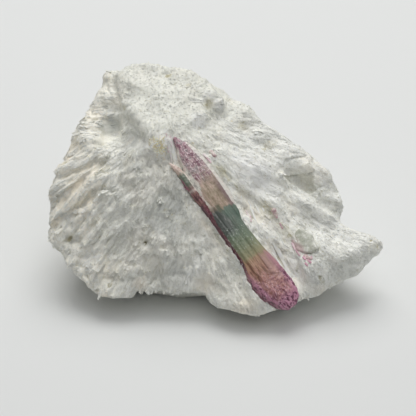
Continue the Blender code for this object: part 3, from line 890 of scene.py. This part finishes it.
def albiteMaterial(name, ownTone=False):
    s = albiteSettings
    material, board, shader = newMaterial(name)
    place = board.node("ShaderNodeTexCoord", out="Object")
    blades = attributeOf(board, "blades", "Vector")
    stretch = board.vector("MULTIPLY", blades, (1.0, 1.0, 0.13))
    streaks = noiseOf(board, stretch, 1.6, 4.0, 0.65)
    fineStreaks = noiseOf(board, stretch, 4.2, 2.0, 0.6)
    grains = noiseOf(board, place, 1500.0, 3.0, 0.65)
    clouds = noiseOf(board, place, 150.0, 3.0)
    sugary = attributeOf(board, "sugary")
    lines = streaks * 0.55 + fineStreaks * 0.45
    texture = lines * (1 - sugary * 0.75) + grains * (sugary * 0.75)
    fine = texture * 0.6 + grains * 0.4
    specks = noiseOf(board, place, 2700.0, 3.0, 0.7)
    # painted light: the right side gets the lighter white
    colour = attributeOf(board, "bright").mix(s["white"], s["bright"])
    # painted shade: the sugary top is painted a darker white
    colour = sugary.mix(colour, s["top"])
    shaded = fine.ramp(0.56, 0.38) * (0.6 - 0.3 * sugary) + clouds.ramp(0.45, 0.65) * 0.15
    shaded = shaded * (1 - 0.35 * attributeOf(board, "bright"))
    if ownTone:
        tone = attributeOf(board, "tone")
        shaded = shaded * 0.6 + tone.ramp(0.35, 1.0) * 0.4
    colour = shaded.mix(colour, s["shade"])
    colour = (specks.ramp(0.55, 0.63) * (0.55 - 0.3 * sugary)).mix(colour, s["speck"])
    colour = (specks.ramp(0.46, 0.38) * (0.5 - 0.3 * sugary)).mix(colour, s["glint"])
    # painted light: the light spots lighten places that lie in shade
    colour = (attributeOf(board, "light") * (0.5 + 0.6 * clouds)).mix(colour, s["glint"])
    # painted shade: the grey spots darken faces and hollows that lie in shade
    grey = attributeOf(board, "grey") * (0.45 + 0.6 * texture)
    colour = grey.mix(colour, s["grey"])
    patches = noiseOf(board, place, 95.0, 3.0)
    cream = attributeOf(board, "cream") * (0.35 + 0.9 * clouds) + patches.ramp(0.48, 0.64) * (0.45 - 0.2 * sugary)
    colour = cream.ramp(0.0, 1.3).mix(colour, s["cream"])
    lichen = noiseOf(board, place, 620.0, 3.0, 0.65)
    # olive where the blade streaks run darkest, in the olive spots and in small patches: olive staining, and painted
    # shade under the top bump and in the upper hollows
    gaps = texture.ramp(0.49, 0.36) * clouds.ramp(0.40, 0.62) * (0.8 - 0.5 * sugary)
    oliveStainAndShade = attributeOf(board, "olive") * (0.35 + 1.1 * streaks) + gaps + lichen.ramp(0.58, 0.68) * 0.5
    colour = oliveStainAndShade.ramp(0.05, 1.5).mix(colour, s["olive"])
    rust = attributeOf(board, "rust") * grains.ramp(0.40, 0.58)
    colour = rust.ramp(0.1, 1.1).mix(colour, s["rust"])
    pink = attributeOf(board, "pink") * grains.ramp(0.42, 0.60)
    colour = pink.ramp(0.1, 1.2).mix(colour, s["pink"])
    bump = bumpOf(board, 0.7, 0.16, fine + 0.5 * specks)
    connect(shader, {
        "Base Color": colour, "Roughness": 0.42 + 0.3 * texture, "Normal": bump,
        "Specular IOR Level": 0.4, "IOR": 1.53,
        "Subsurface Weight": 0.35, "Subsurface Radius": (1.0, 0.95, 0.85), "Subsurface Scale": 0.8 * mm,
    })
    return material


# The tourmaline

crystalSettings = {
    "voxel": 0.17 * mm,
    "grow": 0.10,             # in mm
    "lines": (3.2, 0.09),     # lines to the mm, height in mm
    "coarseLines": (1.0, 0.16),
    "chips": (1.3, 0.10),
    "knobs": (0.9, 0.09),
    "sugar": (0.38, 0.08),
    "bevel": 0.8,
    "lit": 0.65,              # how light a white thing looks where the crystal lies
}
crystalLines = {  # edges of the markings: distance along and across the crystal in mm
    "spottedEdge": [
        (1.0, 0.0), (1.5, -0.1), (4.8, -1.8), (6.6, -2.4), (12.0, -2.4),
        (13.4, -2.1), (14.7, -2.6), (17.3, -3.5), (20.0, -3.1),
    ],
    "rindEdge": [
        (13.5, -4.4), (14.8, -3.7), (18.8, -3.8), (21.4, -4.0), (24.2, -4.6),
        (35.0, -4.8), (38.5, -5.6), (42.0, -5.9), (46.3, -5.2), (49.4, -4.0),
    ],
    "bevelEdge": [(2.6, 1.1), (5.2, 1.4), (7.6, 1.85), (10.7, 2.15), (17.7, 2.1), (21.5, 1.8), (25.0, 2.2)],
    "rightEdge": [(24.0, 2.2), (30.0, 1.6), (36.0, 1.4), (40.0, 1.6), (46.0, 1.6), (50.0, 1.0)],
}


def crystalPlaces(places):  # distance along, across and out of the crystal, in mm
    away = places - np.array(crystalTop) / mm
    return away @ np.array((alongAxis, acrossAxis, outAxis)).T


def crystalRelief(local):
    s = crystalSettings
    along = local[:, 0]
    lines = softNoise(local * (0.12, s["lines"][0], s["lines"][0]), 61)
    coarse = softNoise(local * (0.07, s["coarseLines"][0], s["coarseLines"][0]), 62)
    sugar = softNoise(local / s["sugar"][0], 63)
    knobs = softNoise(local / s["knobs"][0], 65)
    chips = scatter(np.floor(local / (s["chips"][0] * 2.4, s["chips"][0], 50.0)).astype(np.int64), 64)
    ends = np.maximum(1.0 - eased(11.0, 16.0, along), eased(38.0, 43.0, along))
    height = (1.0 - 0.6 * ends) * (s["lines"][1] * lines + s["coarseLines"][1] * coarse)
    height += s["chips"][1] * (chips - 0.5) * 0.5 + s["sugar"][1] * sugar * (0.4 + 0.6 * ends)
    height += s["knobs"][1] * knobs * ends
    return s["grow"] + height


def makeCrystal():
    piece = newPiece("bandedTourmaline", mergedCopy("tourmaline_crystal"))
    remesh(piece, crystalSettings["voxel"])
    smoothed(piece, 1)
    places = placesOf(piece)
    local = crystalPlaces(places)
    bevel = eased(-0.2, 1.4, local[:, 1]) * eased(0.6, 4.0, local[:, 0]) * (1.0 - eased(19.0, 24.0, local[:, 0]))
    widened = crystalSettings["bevel"] * bevel[:, None] * np.array(acrossAxis)
    places = places + normalsOf(piece) * crystalRelief(local)[:, None] + widened
    moveTo(piece, places)
    local = crystalPlaces(places)
    for name, column in (("along", 0), ("across", 1), ("out", 2)):
        setValues(piece, name, local[:, column])
    toView = np.array(toViewer)  # the markings are drawn along the line of sight
    slide = local[:, 2] / (toView @ np.array(outAxis))
    seenAlong = local[:, 0] - slide * (toView @ np.array(alongAxis))
    seenAcross = local[:, 1] - slide * (toView @ np.array(acrossAxis))
    setValues(piece, "seenAlong", seenAlong)
    setValues(piece, "seenAcross", seenAcross)
    for name, rows in crystalLines.items():  # how far right of each marking's edge a place is
        setValues(piece, name, seenAcross - np.interp(seenAlong, *zip(*rows)))
    piece.data.shade_smooth()
    return piece


def shown(red, green, blue, lit=crystalSettings["lit"]):  # the colour of a thing that looks like this tone
    tones = [value / 255.0 for value in (red, green, blue)]
    return tuple(min(((tone + 0.055) / 1.055) ** 2.4 / lit, 0.92) for tone in tones)


crystalBands = [  # distance along the crystal in mm, tone
    (0.0, (158, 116, 128)),
    (4.0, (158, 120, 130)),
    (10.0, (168, 147, 145)),
    (13.5, (158, 138, 124)),
    (17.5, (144, 128, 108)),
    (21.6, (138, 119, 100)),
    (22.1, (88, 104, 91)),
    (24.5, (76, 94, 83)),
    (28.0, (84, 100, 86)),
    (31.0, (100, 112, 90)),
    (33.5, (118, 122, 94)),
    (35.6, (138, 130, 98)),
    (37.0, (146, 116, 90)),
    (40.0, (152, 110, 98)),
    (43.0, (166, 118, 114)),
    (51.0, (154, 102, 116)),
]
prismBands = [  # the prism on its left: share of the prism's length, tone
    (0.34, (212, 190, 182)),
    (0.48, (196, 174, 164)),
    (0.62, (170, 152, 138)),
    (0.67, (100, 108, 94)),
    (0.86, (94, 102, 88)),
    (0.97, (116, 88, 84)),
]
crystalTones = {  # as they look on the lit stone, from 0 to 255
    "pale line": (176, 162, 152),
    "dark line": (92, 82, 74),
    "tan shade": (118, 102, 82),
    "tan light": (176, 154, 140),
    "mauve edge": (112, 90, 90),
    "black grey": (66, 70, 66),
    "grey fleck": (140, 138, 136),
    "olive patch": (66, 70, 44),
    "sparkle": (198, 208, 194),
    "green shade": (84, 92, 66),
    "brown streak": (98, 66, 50),
    "brown light": (172, 136, 108),
    "dusty pink": (158, 126, 118),
    "top plum": (104, 60, 78),
    "top grey": (106, 100, 102),
    "top pale": (208, 188, 190),
    "end tan": (176, 134, 124),
    "end brown": (116, 70, 62),
    "end rim": (168, 118, 142),
    "right rim": (160, 112, 128),
    "end magenta": (86, 38, 62),
    "end plum": (100, 52, 70),
    "end pale": (204, 172, 182),
    "facet": (210, 200, 190),
    "facet grey": (138, 130, 126),
    "facet pink": (196, 170, 166),
    "bevel": (206, 200, 192),
    "bevel pink": (170, 146, 148),
    "rind": (92, 46, 54),
    "rind top": (128, 96, 84),
    "rind foot": (150, 102, 118),
    "rind pink": (138, 88, 100),
    "rind dark": (62, 36, 44),
    "rind pale": (214, 196, 204),
    "prism shade": (88, 84, 76),
    "prism magenta": (138, 80, 98),
}
crystalLength = 52.0
prismLength = 14.0


def crystalMaterial():
    material, board, shader = newMaterial("banded tourmaline")
    along, across, out = (attributeOf(board, name) for name in ("along", "across", "out"))
    seenAlong, seenAcross = attributeOf(board, "seenAlong"), attributeOf(board, "seenAcross")
    place = board.node("ShaderNodeCombineXYZ", None, {0: along, 1: across, 2: out})
    stretched = board.node("ShaderNodeCombineXYZ", None, {0: along * 0.12, 1: across, 2: out})
    strokes = board.node("ShaderNodeCombineXYZ", None, {0: along * 0.42, 1: across, 2: out})
    lines = noiseOf(board, stretched, 1.7, 4.0, 0.6)
    fineLines = noiseOf(board, stretched, 5.0, 3.0, 0.6)
    blotches = noiseOf(board, strokes, 1.25, 4.0, 0.65)
    specks = noiseOf(board, strokes, 3.4, 3.0, 0.7)
    clouds = noiseOf(board, place, 0.45, 3.0)
    spottedEdge = attributeOf(board, "spottedEdge") + (specks - 0.5) * 1.2
    rindEdge = attributeOf(board, "rindEdge") + (specks - 0.5) * 1.0
    bevelEdge = attributeOf(board, "bevelEdge") + (specks - 0.5) * 0.5
    rightEdge = attributeOf(board, "rightEdge") + (blotches - 0.5) * 1.6

    def over(colour, share, tone):
        return share.mix(colour, shown(*crystalTones[tone]))

    def between(value, low, lowFull, highFull, high):
        return value.ramp(low, lowFull) * value.ramp(high, highFull)
    band = seenAlong + seenAcross * -0.10 + (lines - 0.5) * 2.0 + (fineLines - 0.5) * 1.4 + (clouds - 0.5) * 2.0
    stops = [(distance / crystalLength, shown(*tone)) for distance, tone in crystalBands]
    ramp = board.node("ShaderNodeValToRGB", {"stops": stops}, {0: band * (1.0 / crystalLength)})
    upper = band.ramp(15.0, 11.5)
    lower = band.ramp(39.5, 43.5)
    colour = over(ramp, fineLines.ramp(0.52, 0.70) * 0.22, "pale line")
    colour = over(colour, lines.ramp(0.46, 0.34) * 0.30, "dark line")
    # the tan: soft blotches, mauve right edge
    tan = between(band, 11.0, 14.0, 21.6, 22.0)
    colour = over(colour, tan * blotches.ramp(0.48, 0.38) * 0.8, "tan shade")
    colour = over(colour, tan * blotches.ramp(0.52, 0.62) * 0.8, "tan light")
    colour = over(colour, seenAcross.ramp(0.5, 1.6) * between(band, 13.0, 17.0, 22.0, 22.6) * 0.85, "mauve edge")
    # the green: black-grey left, olive patch, pale sparkles
    greyLeft = (seenAcross + (lines - 0.5) * 2.6).ramp(-1.0, -2.2) * between(band, 20.4, 22.4, 27.0, 30.0)
    colour = over(colour, greyLeft * 0.9, "black grey")
    colour = over(colour, greyLeft * blotches.ramp(0.53, 0.62) * 0.45, "grey fleck")
    olive = between(band, 20.2, 21.0, 22.0, 22.6) * between(seenAcross, -2.6, -2.1, -1.6, -1.1)
    colour = over(colour, olive * 0.85, "olive patch")
    sparkles = specks.ramp(0.60, 0.66) * between(band, 25.5, 28.0, 33.0, 35.0)
    colour = over(colour, sparkles * 0.75, "sparkle")
    colour = over(colour, blotches.ramp(0.47, 0.40) * between(band, 28.0, 30.0, 35.0, 37.0) * 0.45, "green shade")
    # the lower part: brown streaks on the left, dusty pink on the right
    brown = between(band, 35.2, 37.2, 41.0, 44.0) * seenAcross.ramp(0.4, -1.4)
    colour = over(colour, brown * lines.ramp(0.56, 0.44) * 0.9, "brown streak")
    colour = over(colour, brown * fineLines.ramp(0.52, 0.62) * 0.6, "brown light")
    pinkSide = (seenAcross - (lines - 0.5) * 1.6).ramp(-1.4, -0.2) * (band - seenAcross * 0.6).ramp(35.4, 37.6)
    colour = over(colour, pinkSide * band.ramp(45.0, 42.0) * 0.9, "dusty pink")
    # the two speckled ends
    colour = over(colour, upper * blotches.ramp(0.49, 0.57) * 0.85, "top plum")
    colour = over(colour, upper * blotches.ramp(0.48, 0.41) * 0.75, "top grey")
    colour = over(colour, upper * specks.ramp(0.53, 0.61) * 0.80, "top pale")
    spots = noiseOf(board, place, 1.05, 2.0, 0.6)
    colour = over(colour, lower * clouds.ramp(0.44, 0.58) * 0.7, "end tan")
    colour = over(colour, lower * spots.ramp(0.49, 0.40) * seenAcross.ramp(1.0, -1.5) * 0.7, "end brown")
    rim = board.math("MAXIMUM", rightEdge.ramp(-0.9, 0.3), rindEdge.ramp(1.1, 0.2))
    rim = board.math("MAXIMUM", rim, seenAlong.ramp(47.0, 49.0))
    colour = over(colour, rim * lower * 0.85, "end rim")
    colour = over(colour, rightEdge.ramp(-1.2, -0.4) * between(band, 35.0, 37.5, 41.0, 44.0) * 0.6, "right rim")
    colour = over(colour, lower * spots.ramp(0.50, 0.56) * (0.35 + 0.6 * rim), "end magenta")
    colour = over(colour, lower * blotches.ramp(0.56, 0.62) * 0.7, "end plum")
    colour = over(colour, lower * specks.ramp(0.57, 0.64) * 0.7, "end pale")
    # the pale facet left of the spotted one, and the bright bevel down the right
    pale = spottedEdge.ramp(0.15, -0.15) * between(seenAlong, 2.6, 4.2, 18.0, 21.5)
    colour = over(colour, pale * (0.6 + 0.7 * specks), "facet")
    colour = over(colour, pale * blotches.ramp(0.48, 0.40) * 0.75, "facet grey")
    colour = over(colour, pale * blotches.ramp(0.52, 0.60) * 0.6, "facet pink")
    line = bevelEdge.ramp(-0.12, 0.12) * between(seenAlong, 2.0, 4.0, 22.0, 25.5)
    colour = over(colour, line * 0.92, "bevel")
    colour = over(colour, line * specks.ramp(0.46, 0.38) * 0.4, "bevel pink")
    # the dark rind down the left
    rind = rindEdge.ramp(0.15, -0.15) * seenAlong.ramp(13.6, 15.2)
    colour = over(colour, rind * seenAlong.ramp(41.0, 36.0), "rind")
    colour = over(colour, rind * between(seenAlong, 13.0, 14.5, 17.5, 20.0) * 0.8, "rind top")
    colour = over(colour, rind * seenAlong.ramp(36.0, 41.0) * 0.85, "rind foot")
    colour = over(colour, rind * specks.ramp(0.50, 0.58) * 0.75, "rind pink")
    colour = over(colour, rind * blotches.ramp(0.50, 0.42) * 0.8, "rind dark")
    # the pale specks down the rind are painted sparkle highlights
    colour = over(colour, rind * specks.ramp(0.60, 0.66) * seenAlong.ramp(26.0, 30.0), "rind pale")
    # the sliver beside the top
    side = (seenAcross + (specks - 0.5) * 0.5).ramp(-3.6, -3.9) * seenAlong.ramp(14.4, 13.4)
    stops = [(distance, shown(*tone)) for distance, tone in prismBands]
    down = (seenAlong + (specks - 0.5) * 2.0) * (1.0 / prismLength)
    sliver = board.node("ShaderNodeValToRGB", {"stops": stops}, {0: down})
    colour = side.mix(colour, sliver)
    colour = over(colour, side * blotches.ramp(0.47, 0.40) * 0.3, "prism shade")
    magenta = (seenAcross + (specks - 0.5) * 0.6).ramp(-4.95, -5.2) * between(seenAlong, 9.4, 10.6, 13.0, 14.0)
    colour = over(colour, magenta * 0.8, "prism magenta")
    height = fineLines * 0.5 + specks * (0.2 + 0.5 * board.math("MAXIMUM", upper, lower))
    bump = bumpOf(board, 0.5, 0.12, height)
    connect(shader, {
        "Base Color": colour, "Roughness": 0.24 + 0.3 * specks, "Normal": bump,
        "IOR": 1.63, "Transmission Weight": 0.12, "Coat Weight": 0.15 * lines, "Coat Roughness": 0.2,
    })
    return material


# The quartz grain and the small pink crystals on the right

smallCrystalSettings = {
    "quartz": {"voxel": 0.16 * mm, "lumps": 1.6, "height": 0.16, "grow": 0.28},
    "pink": {"voxel": 0.11 * mm, "lumps": 0.5, "height": 0.12, "grow": 0.10},
}
smallTones = {  # as they look on the lit stone, and how light a white thing looks there
    "quartz": (168, 170, 156, 0.70),
    "quartz light": (190, 190, 180, 0.70),
    "quartz veil": (212, 212, 206, 0.70),
    "quartz lilac": (178, 150, 152, 0.70),
    "pink": (176, 142, 146, 0.72),
    "pink light": (200, 176, 174, 0.72),
    "pink white": (214, 206, 200, 0.72),
    "pink dark": (148, 92, 110, 0.72),
    "pink pale": (200, 192, 184, 0.66),
    "needle": (200, 198, 186, 0.60),
    "needle light": (222, 220, 212, 0.60),
    "needle pink": (178, 128, 146, 0.66),
    "needle rust": (212, 196, 146, 0.62),
}
rightFacing = Vector((0.216, -0.589, 0.779)).normalized()  # the way that the rock's right side faces


def makeSmallCrystal(name, node, kind):
    s = smallCrystalSettings[kind]
    piece = newPiece(name, mergedCopy(node))
    remesh(piece, s["voxel"])
    smoothed(piece, 1)
    places = placesOf(piece)
    relief = s["grow"] + s["height"] * softNoise(places / s["lumps"], 71)
    relief += 0.4 * s["height"] * softNoise(places / (s["lumps"] * 0.35), 72)
    moveTo(piece, places + normalsOf(piece) * relief[:, None])
    places = placesOf(piece)
    middle = places.mean(axis=0)
    setValues(piece, "sideways", (places - middle) @ np.array(acrossAxis))
    piece.data.shade_smooth()
    return piece


def quartzMaterial():
    material, board, shader = newMaterial("grey quartz")
    place = board.node("ShaderNodeTexCoord", out="Object")
    sideways = attributeOf(board, "sideways")
    clouds = noiseOf(board, place, 420.0, 4.0)
    veils = noiseOf(board, place, 1400.0, 3.0, 0.65)
    colour = clouds.ramp(0.38, 0.62).mix(shown(*smallTones["quartz"]), shown(*smallTones["quartz light"]))
    colour = (veils.ramp(0.52, 0.62) * 0.5).mix(colour, shown(*smallTones["quartz veil"]))
    lilac = (sideways + (clouds - 0.5) * 2.4).ramp(-0.9, -2.2)
    colour = (lilac * 0.75).mix(colour, shown(*smallTones["quartz lilac"]))
    bump = bumpOf(board, 0.35, 0.1, clouds * 0.5 + veils * 0.5)
    connect(shader, {
        "Base Color": colour, "Roughness": 0.18 + 0.25 * veils, "Normal": bump,
        "IOR": 1.544, "Transmission Weight": 0.2,
    })
    return material


def pinkMaterial(name, pale):  # pale is the share of white in it
    material, board, shader = newMaterial(name)
    place = board.node("ShaderNodeTexCoord", out="Object")
    clouds = noiseOf(board, place, 900.0, 3.0)
    specks = noiseOf(board, place, 3200.0, 3.0, 0.65)
    colour = clouds.ramp(0.40, 0.60).mix(shown(*smallTones["pink"]), shown(*smallTones["pink light"]))
    colour = (specks.ramp(0.50, 0.60) * 0.8).mix(colour, shown(*smallTones["pink white"]))
    colour = (specks.ramp(0.44, 0.36) * 0.7).mix(colour, shown(*smallTones["pink dark"]))
    colour = (clouds.ramp(0.3, 0.6) * pale).mix(colour, shown(*smallTones["pink pale"]))
    bump = bumpOf(board, 0.4, 0.08, specks)
    connect(shader, {
        "Base Color": colour, "Roughness": 0.25 + 0.25 * clouds, "Normal": bump,
        "IOR": 1.63, "Transmission Weight": 0.15,
    })
    return material


# Pale needles and pink crumbs round the top of the tourmaline and on its right

needleSettings = {  # pixel of the foot, pixel of the tip, width in mm, pinkness
    "needles": [
        (164, 152, 157, 138, 0.24, 0.1), (166, 151, 162, 135, 0.22, 0.3), (168, 152, 166, 134, 0.20, 0.7),
        (162, 152, 151, 143, 0.22, 0.0), (160, 153, 148, 148, 0.20, 0.0), (170, 153, 170, 136, 0.20, 0.8),
        (172, 154, 173, 139, 0.24, 0.4), (174, 160, 175, 145, 0.26, 0.2), (169, 158, 165, 146, 0.22, 0.1),
        (164, 149, 158, 141, 0.20, 0.0), (172, 164, 170, 150, 0.22, 0.4), (175, 166, 175, 154, 0.22, 0.2),
        (157, 150, 149, 140, 0.20, 0.0), (171, 147, 171, 137, 0.18, 0.6), (160, 148, 154, 137, 0.20, 0.0),
        (166, 147, 163, 139, 0.18, 0.0), (158, 145, 155, 136, 0.18, 0.0), (163, 156, 154, 151, 0.20, 0.0),
    ],
    "palePlates": [  # long laths beside the tourmaline
        (175, 162, 172, 144, 0.7, 0.15), (178, 168, 175, 152, 0.6, 0.1), (172, 159, 169, 145, 0.5, 0.25),
        (262, 224, 271, 243, 0.55, 0.0), (268, 226, 277, 246, 0.5, 0.0), (266, 236, 276, 256, 0.6, 0.0),
        (273, 243, 283, 262, 0.55, 0.0), (278, 248, 287, 266, 0.5, 0.1), (272, 252, 284, 270, 0.5, 0.0),
        (281, 258, 291, 276, 0.6, 0.0), (259, 231, 267, 246, 0.45, 0.2), (285, 268, 294, 284, 0.55, 0.0),
        (256, 222, 263, 236, 0.4, 0.2), (277, 232, 285, 247, 0.5, 0.0), (250, 206, 256, 221, 0.45, 0.1),
        (255, 204, 262, 218, 0.4, 0.0), (262, 207, 270, 222, 0.45, 0.0), (289, 262, 298, 277, 0.45, 0.0),
        (246, 210, 251, 222, 0.4, 0.5), (248, 200, 254, 212, 0.35, 0.0), (241, 196, 246, 208, 0.4, 0.0),
    ],
    "crumbs": [  # pink ones
        (203, 154, 207, 158, 0.5, 0.5), (206, 157, 211, 163, 0.45, 0.7), (274, 211, 277, 218, 0.34, 1.0),
        (280, 223, 283, 229, 0.28, 0.9),
        (303, 257, 306, 260, 0.5, 1.0), (308, 260, 311, 263, 0.5, 1.0), (305, 263, 308, 266, 0.4, 1.0),
        (311, 256, 312, 259, 0.3, 0.8), (292, 243, 295, 250, 0.5, 0.7), (296, 250, 300, 256, 0.45, 0.8),
        (184, 187, 187, 190, 0.35, 1.0), (250, 216, 251, 222, 0.28, 0.7), (258, 243, 261, 249, 0.25, 0.5),
    ],
}


def makeNeedles(name, rows, tree, seed, proud, thickness):
    dice = np.random.default_rng(seed)
    centres, axes, sizes, pinks = [], [], [], []
    for footX, footY, tipX, tipY, width, pinkness in rows:
        foot, tip = spotCentre(tree, footX, footY), spotCentre(tree, tipX, tipY)
        way = (tip - foot) / np.linalg.norm(tip - foot)
        _, normal, _, _ = tree.ray_cast(*photoRay((footX + tipX) / 2, (footY + tipY) / 2))
        out = np.array(normal) - way * (np.array(normal) @ way)
        out /= np.linalg.norm(out)
        centres.append((foot + tip) / 2 + out * proud)
        axes.append(np.stack((way, np.cross(out, way), out)))
        sizes.append((np.linalg.norm(tip - foot), width, width * thickness))
        pinks.append(pinkness)
    bm = cubeShape()
    bmesh.ops.bevel(bm, geom=list(bm.edges), offset=0.12, affect="EDGES", segments=1, profile=0.5, material=-1)
    bmesh.ops.triangulate(bm, faces=bm.faces)
    stray = dice.uniform(-0.12, 0.12, (len(rows), len(bm.verts), 3))
    tone = dice.uniform(0, 0.3, len(rows))
    piece = manyOf(name, bm, np.array(centres), np.array(axes), np.array(sizes), tone, tree, stray)
    perCopy = len(piece.data.vertices) // len(rows)
    setValues(piece, "pinkness", np.repeat(pinks, perCopy))
    return piece


def needleMaterial():
    material, board, shader = newMaterial("pale needles")
    place = board.node("ShaderNodeTexCoord", out="Object")
    stretch = board.vector("MULTIPLY", attributeOf(board, "blades", "Vector"), (1.0, 1.0, 0.2))
    streaks = noiseOf(board, stretch, 5.0, 3.0)
    grains = noiseOf(board, place, 2200.0, 3.0)
    pinkness = attributeOf(board, "pinkness") * (0.55 + 0.9 * grains)
    colour = streaks.ramp(0.36, 0.62).mix(shown(*smallTones["needle"]), shown(*smallTones["needle light"]))
    colour = pinkness.ramp(0.1, 1.2).mix(colour, shown(*smallTones["needle pink"]))
    rust = attributeOf(board, "rust") * grains.ramp(0.36, 0.60)
    colour = rust.ramp(0.1, 1.3).mix(colour, shown(*smallTones["needle rust"]))
    bump = bumpOf(board, 0.4, 0.08, streaks)
    connect(shader, {
        "Base Color": colour, "Roughness": 0.3 + 0.25 * grains, "Normal": bump, "IOR": 1.53,
        "Transmission Weight": 0.08,
    })
    return material


# Putting it together

makeCamera()
makeLights()
makeFloor()
print("camera, lights and floor are up")

crystal = makeCrystal()
dress(crystal, crystalMaterial())
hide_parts("tourmaline_crystal")
crystalTree = treeOf(crystal)
print("tourmaline:", len(crystal.data.polygons), "faces")

smallCrystals = {
    "greyQuartz": ("quartz_grain", "quartz", quartzMaterial(), "quartz"),
    "pinkUpper": ("pink_crystal_upper", "pink", pinkMaterial("pale tourmaline", 0.8), "tourmaline"),
    "pinkMiddle": ("pink_crystal_middle", "pink", pinkMaterial("pink tourmaline", 0.35), "tourmaline"),
    "pinkLower": ("pink_crystal_lower", "pink", pinkMaterial("pink speckled tourmaline", 0.2), "tourmaline"),
}
smallTrees = []
for name, (node, kind, material, slotName) in smallCrystals.items():
    small = makeSmallCrystal(name, node, kind)
    dress(small, material)
    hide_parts(node)
    smallTrees.append(treeOf(small))
    print(name, len(small.data.polygons), "faces")

rock, rockTree = makeRock(crystalTree, smallTrees)
dress(rock, albiteMaterial("albite"))
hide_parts("albite_matrix")
print("rock:", len(rock.data.polygons), "faces")

lathMaterial = albiteMaterial("albite laths", ownTone=True)
skinPieces = {  # what makes each piece, its seed, and where its laths or grains are wanted
    "lathsLeft": (makeLaths, 41, lambda places: (places[:, 0] < -8.0) * eased(-2.0, -8.0, places[:, 1] - 12.0)),
    "lathsRight": (makeLaths, 42, lambda places: (places[:, 0] >= -8.0) * eased(-2.0, -8.0, places[:, 1] - 16.0)),
    "lathsBack": (makeLaths, 43, lambda places: eased(2.0, 10.0, places[:, 1])),
    "grainsFront": (makeGrains, 51, lambda places: eased(10.0, -6.0, places[:, 1])),
    "grainsTop": (makeGrains, 52, lambda places: 0.15 + sugaryShare(places)),
}
for name, (make, seed, wanted) in skinPieces.items():
    piece = make(name, rock, rockTree, crystalTree, seed, wanted)
    dress(piece, lathMaterial)
    print(name, len(piece.data.polygons), "faces")

needleRows = needleSettings["needles"] + needleSettings["crumbs"]
needles = makeNeedles("paleNeedles", needleRows, rockTree, seed=81, proud=0.13, thickness=0.7)
dress(needles, needleMaterial())
plates = makeNeedles("palePlates", needleSettings["palePlates"], rockTree, seed=82, proud=-0.02, thickness=0.35)
dress(plates, needleMaterial())
print("needles and plates:", len(needles.data.polygons) + len(plates.data.polygons), "faces")
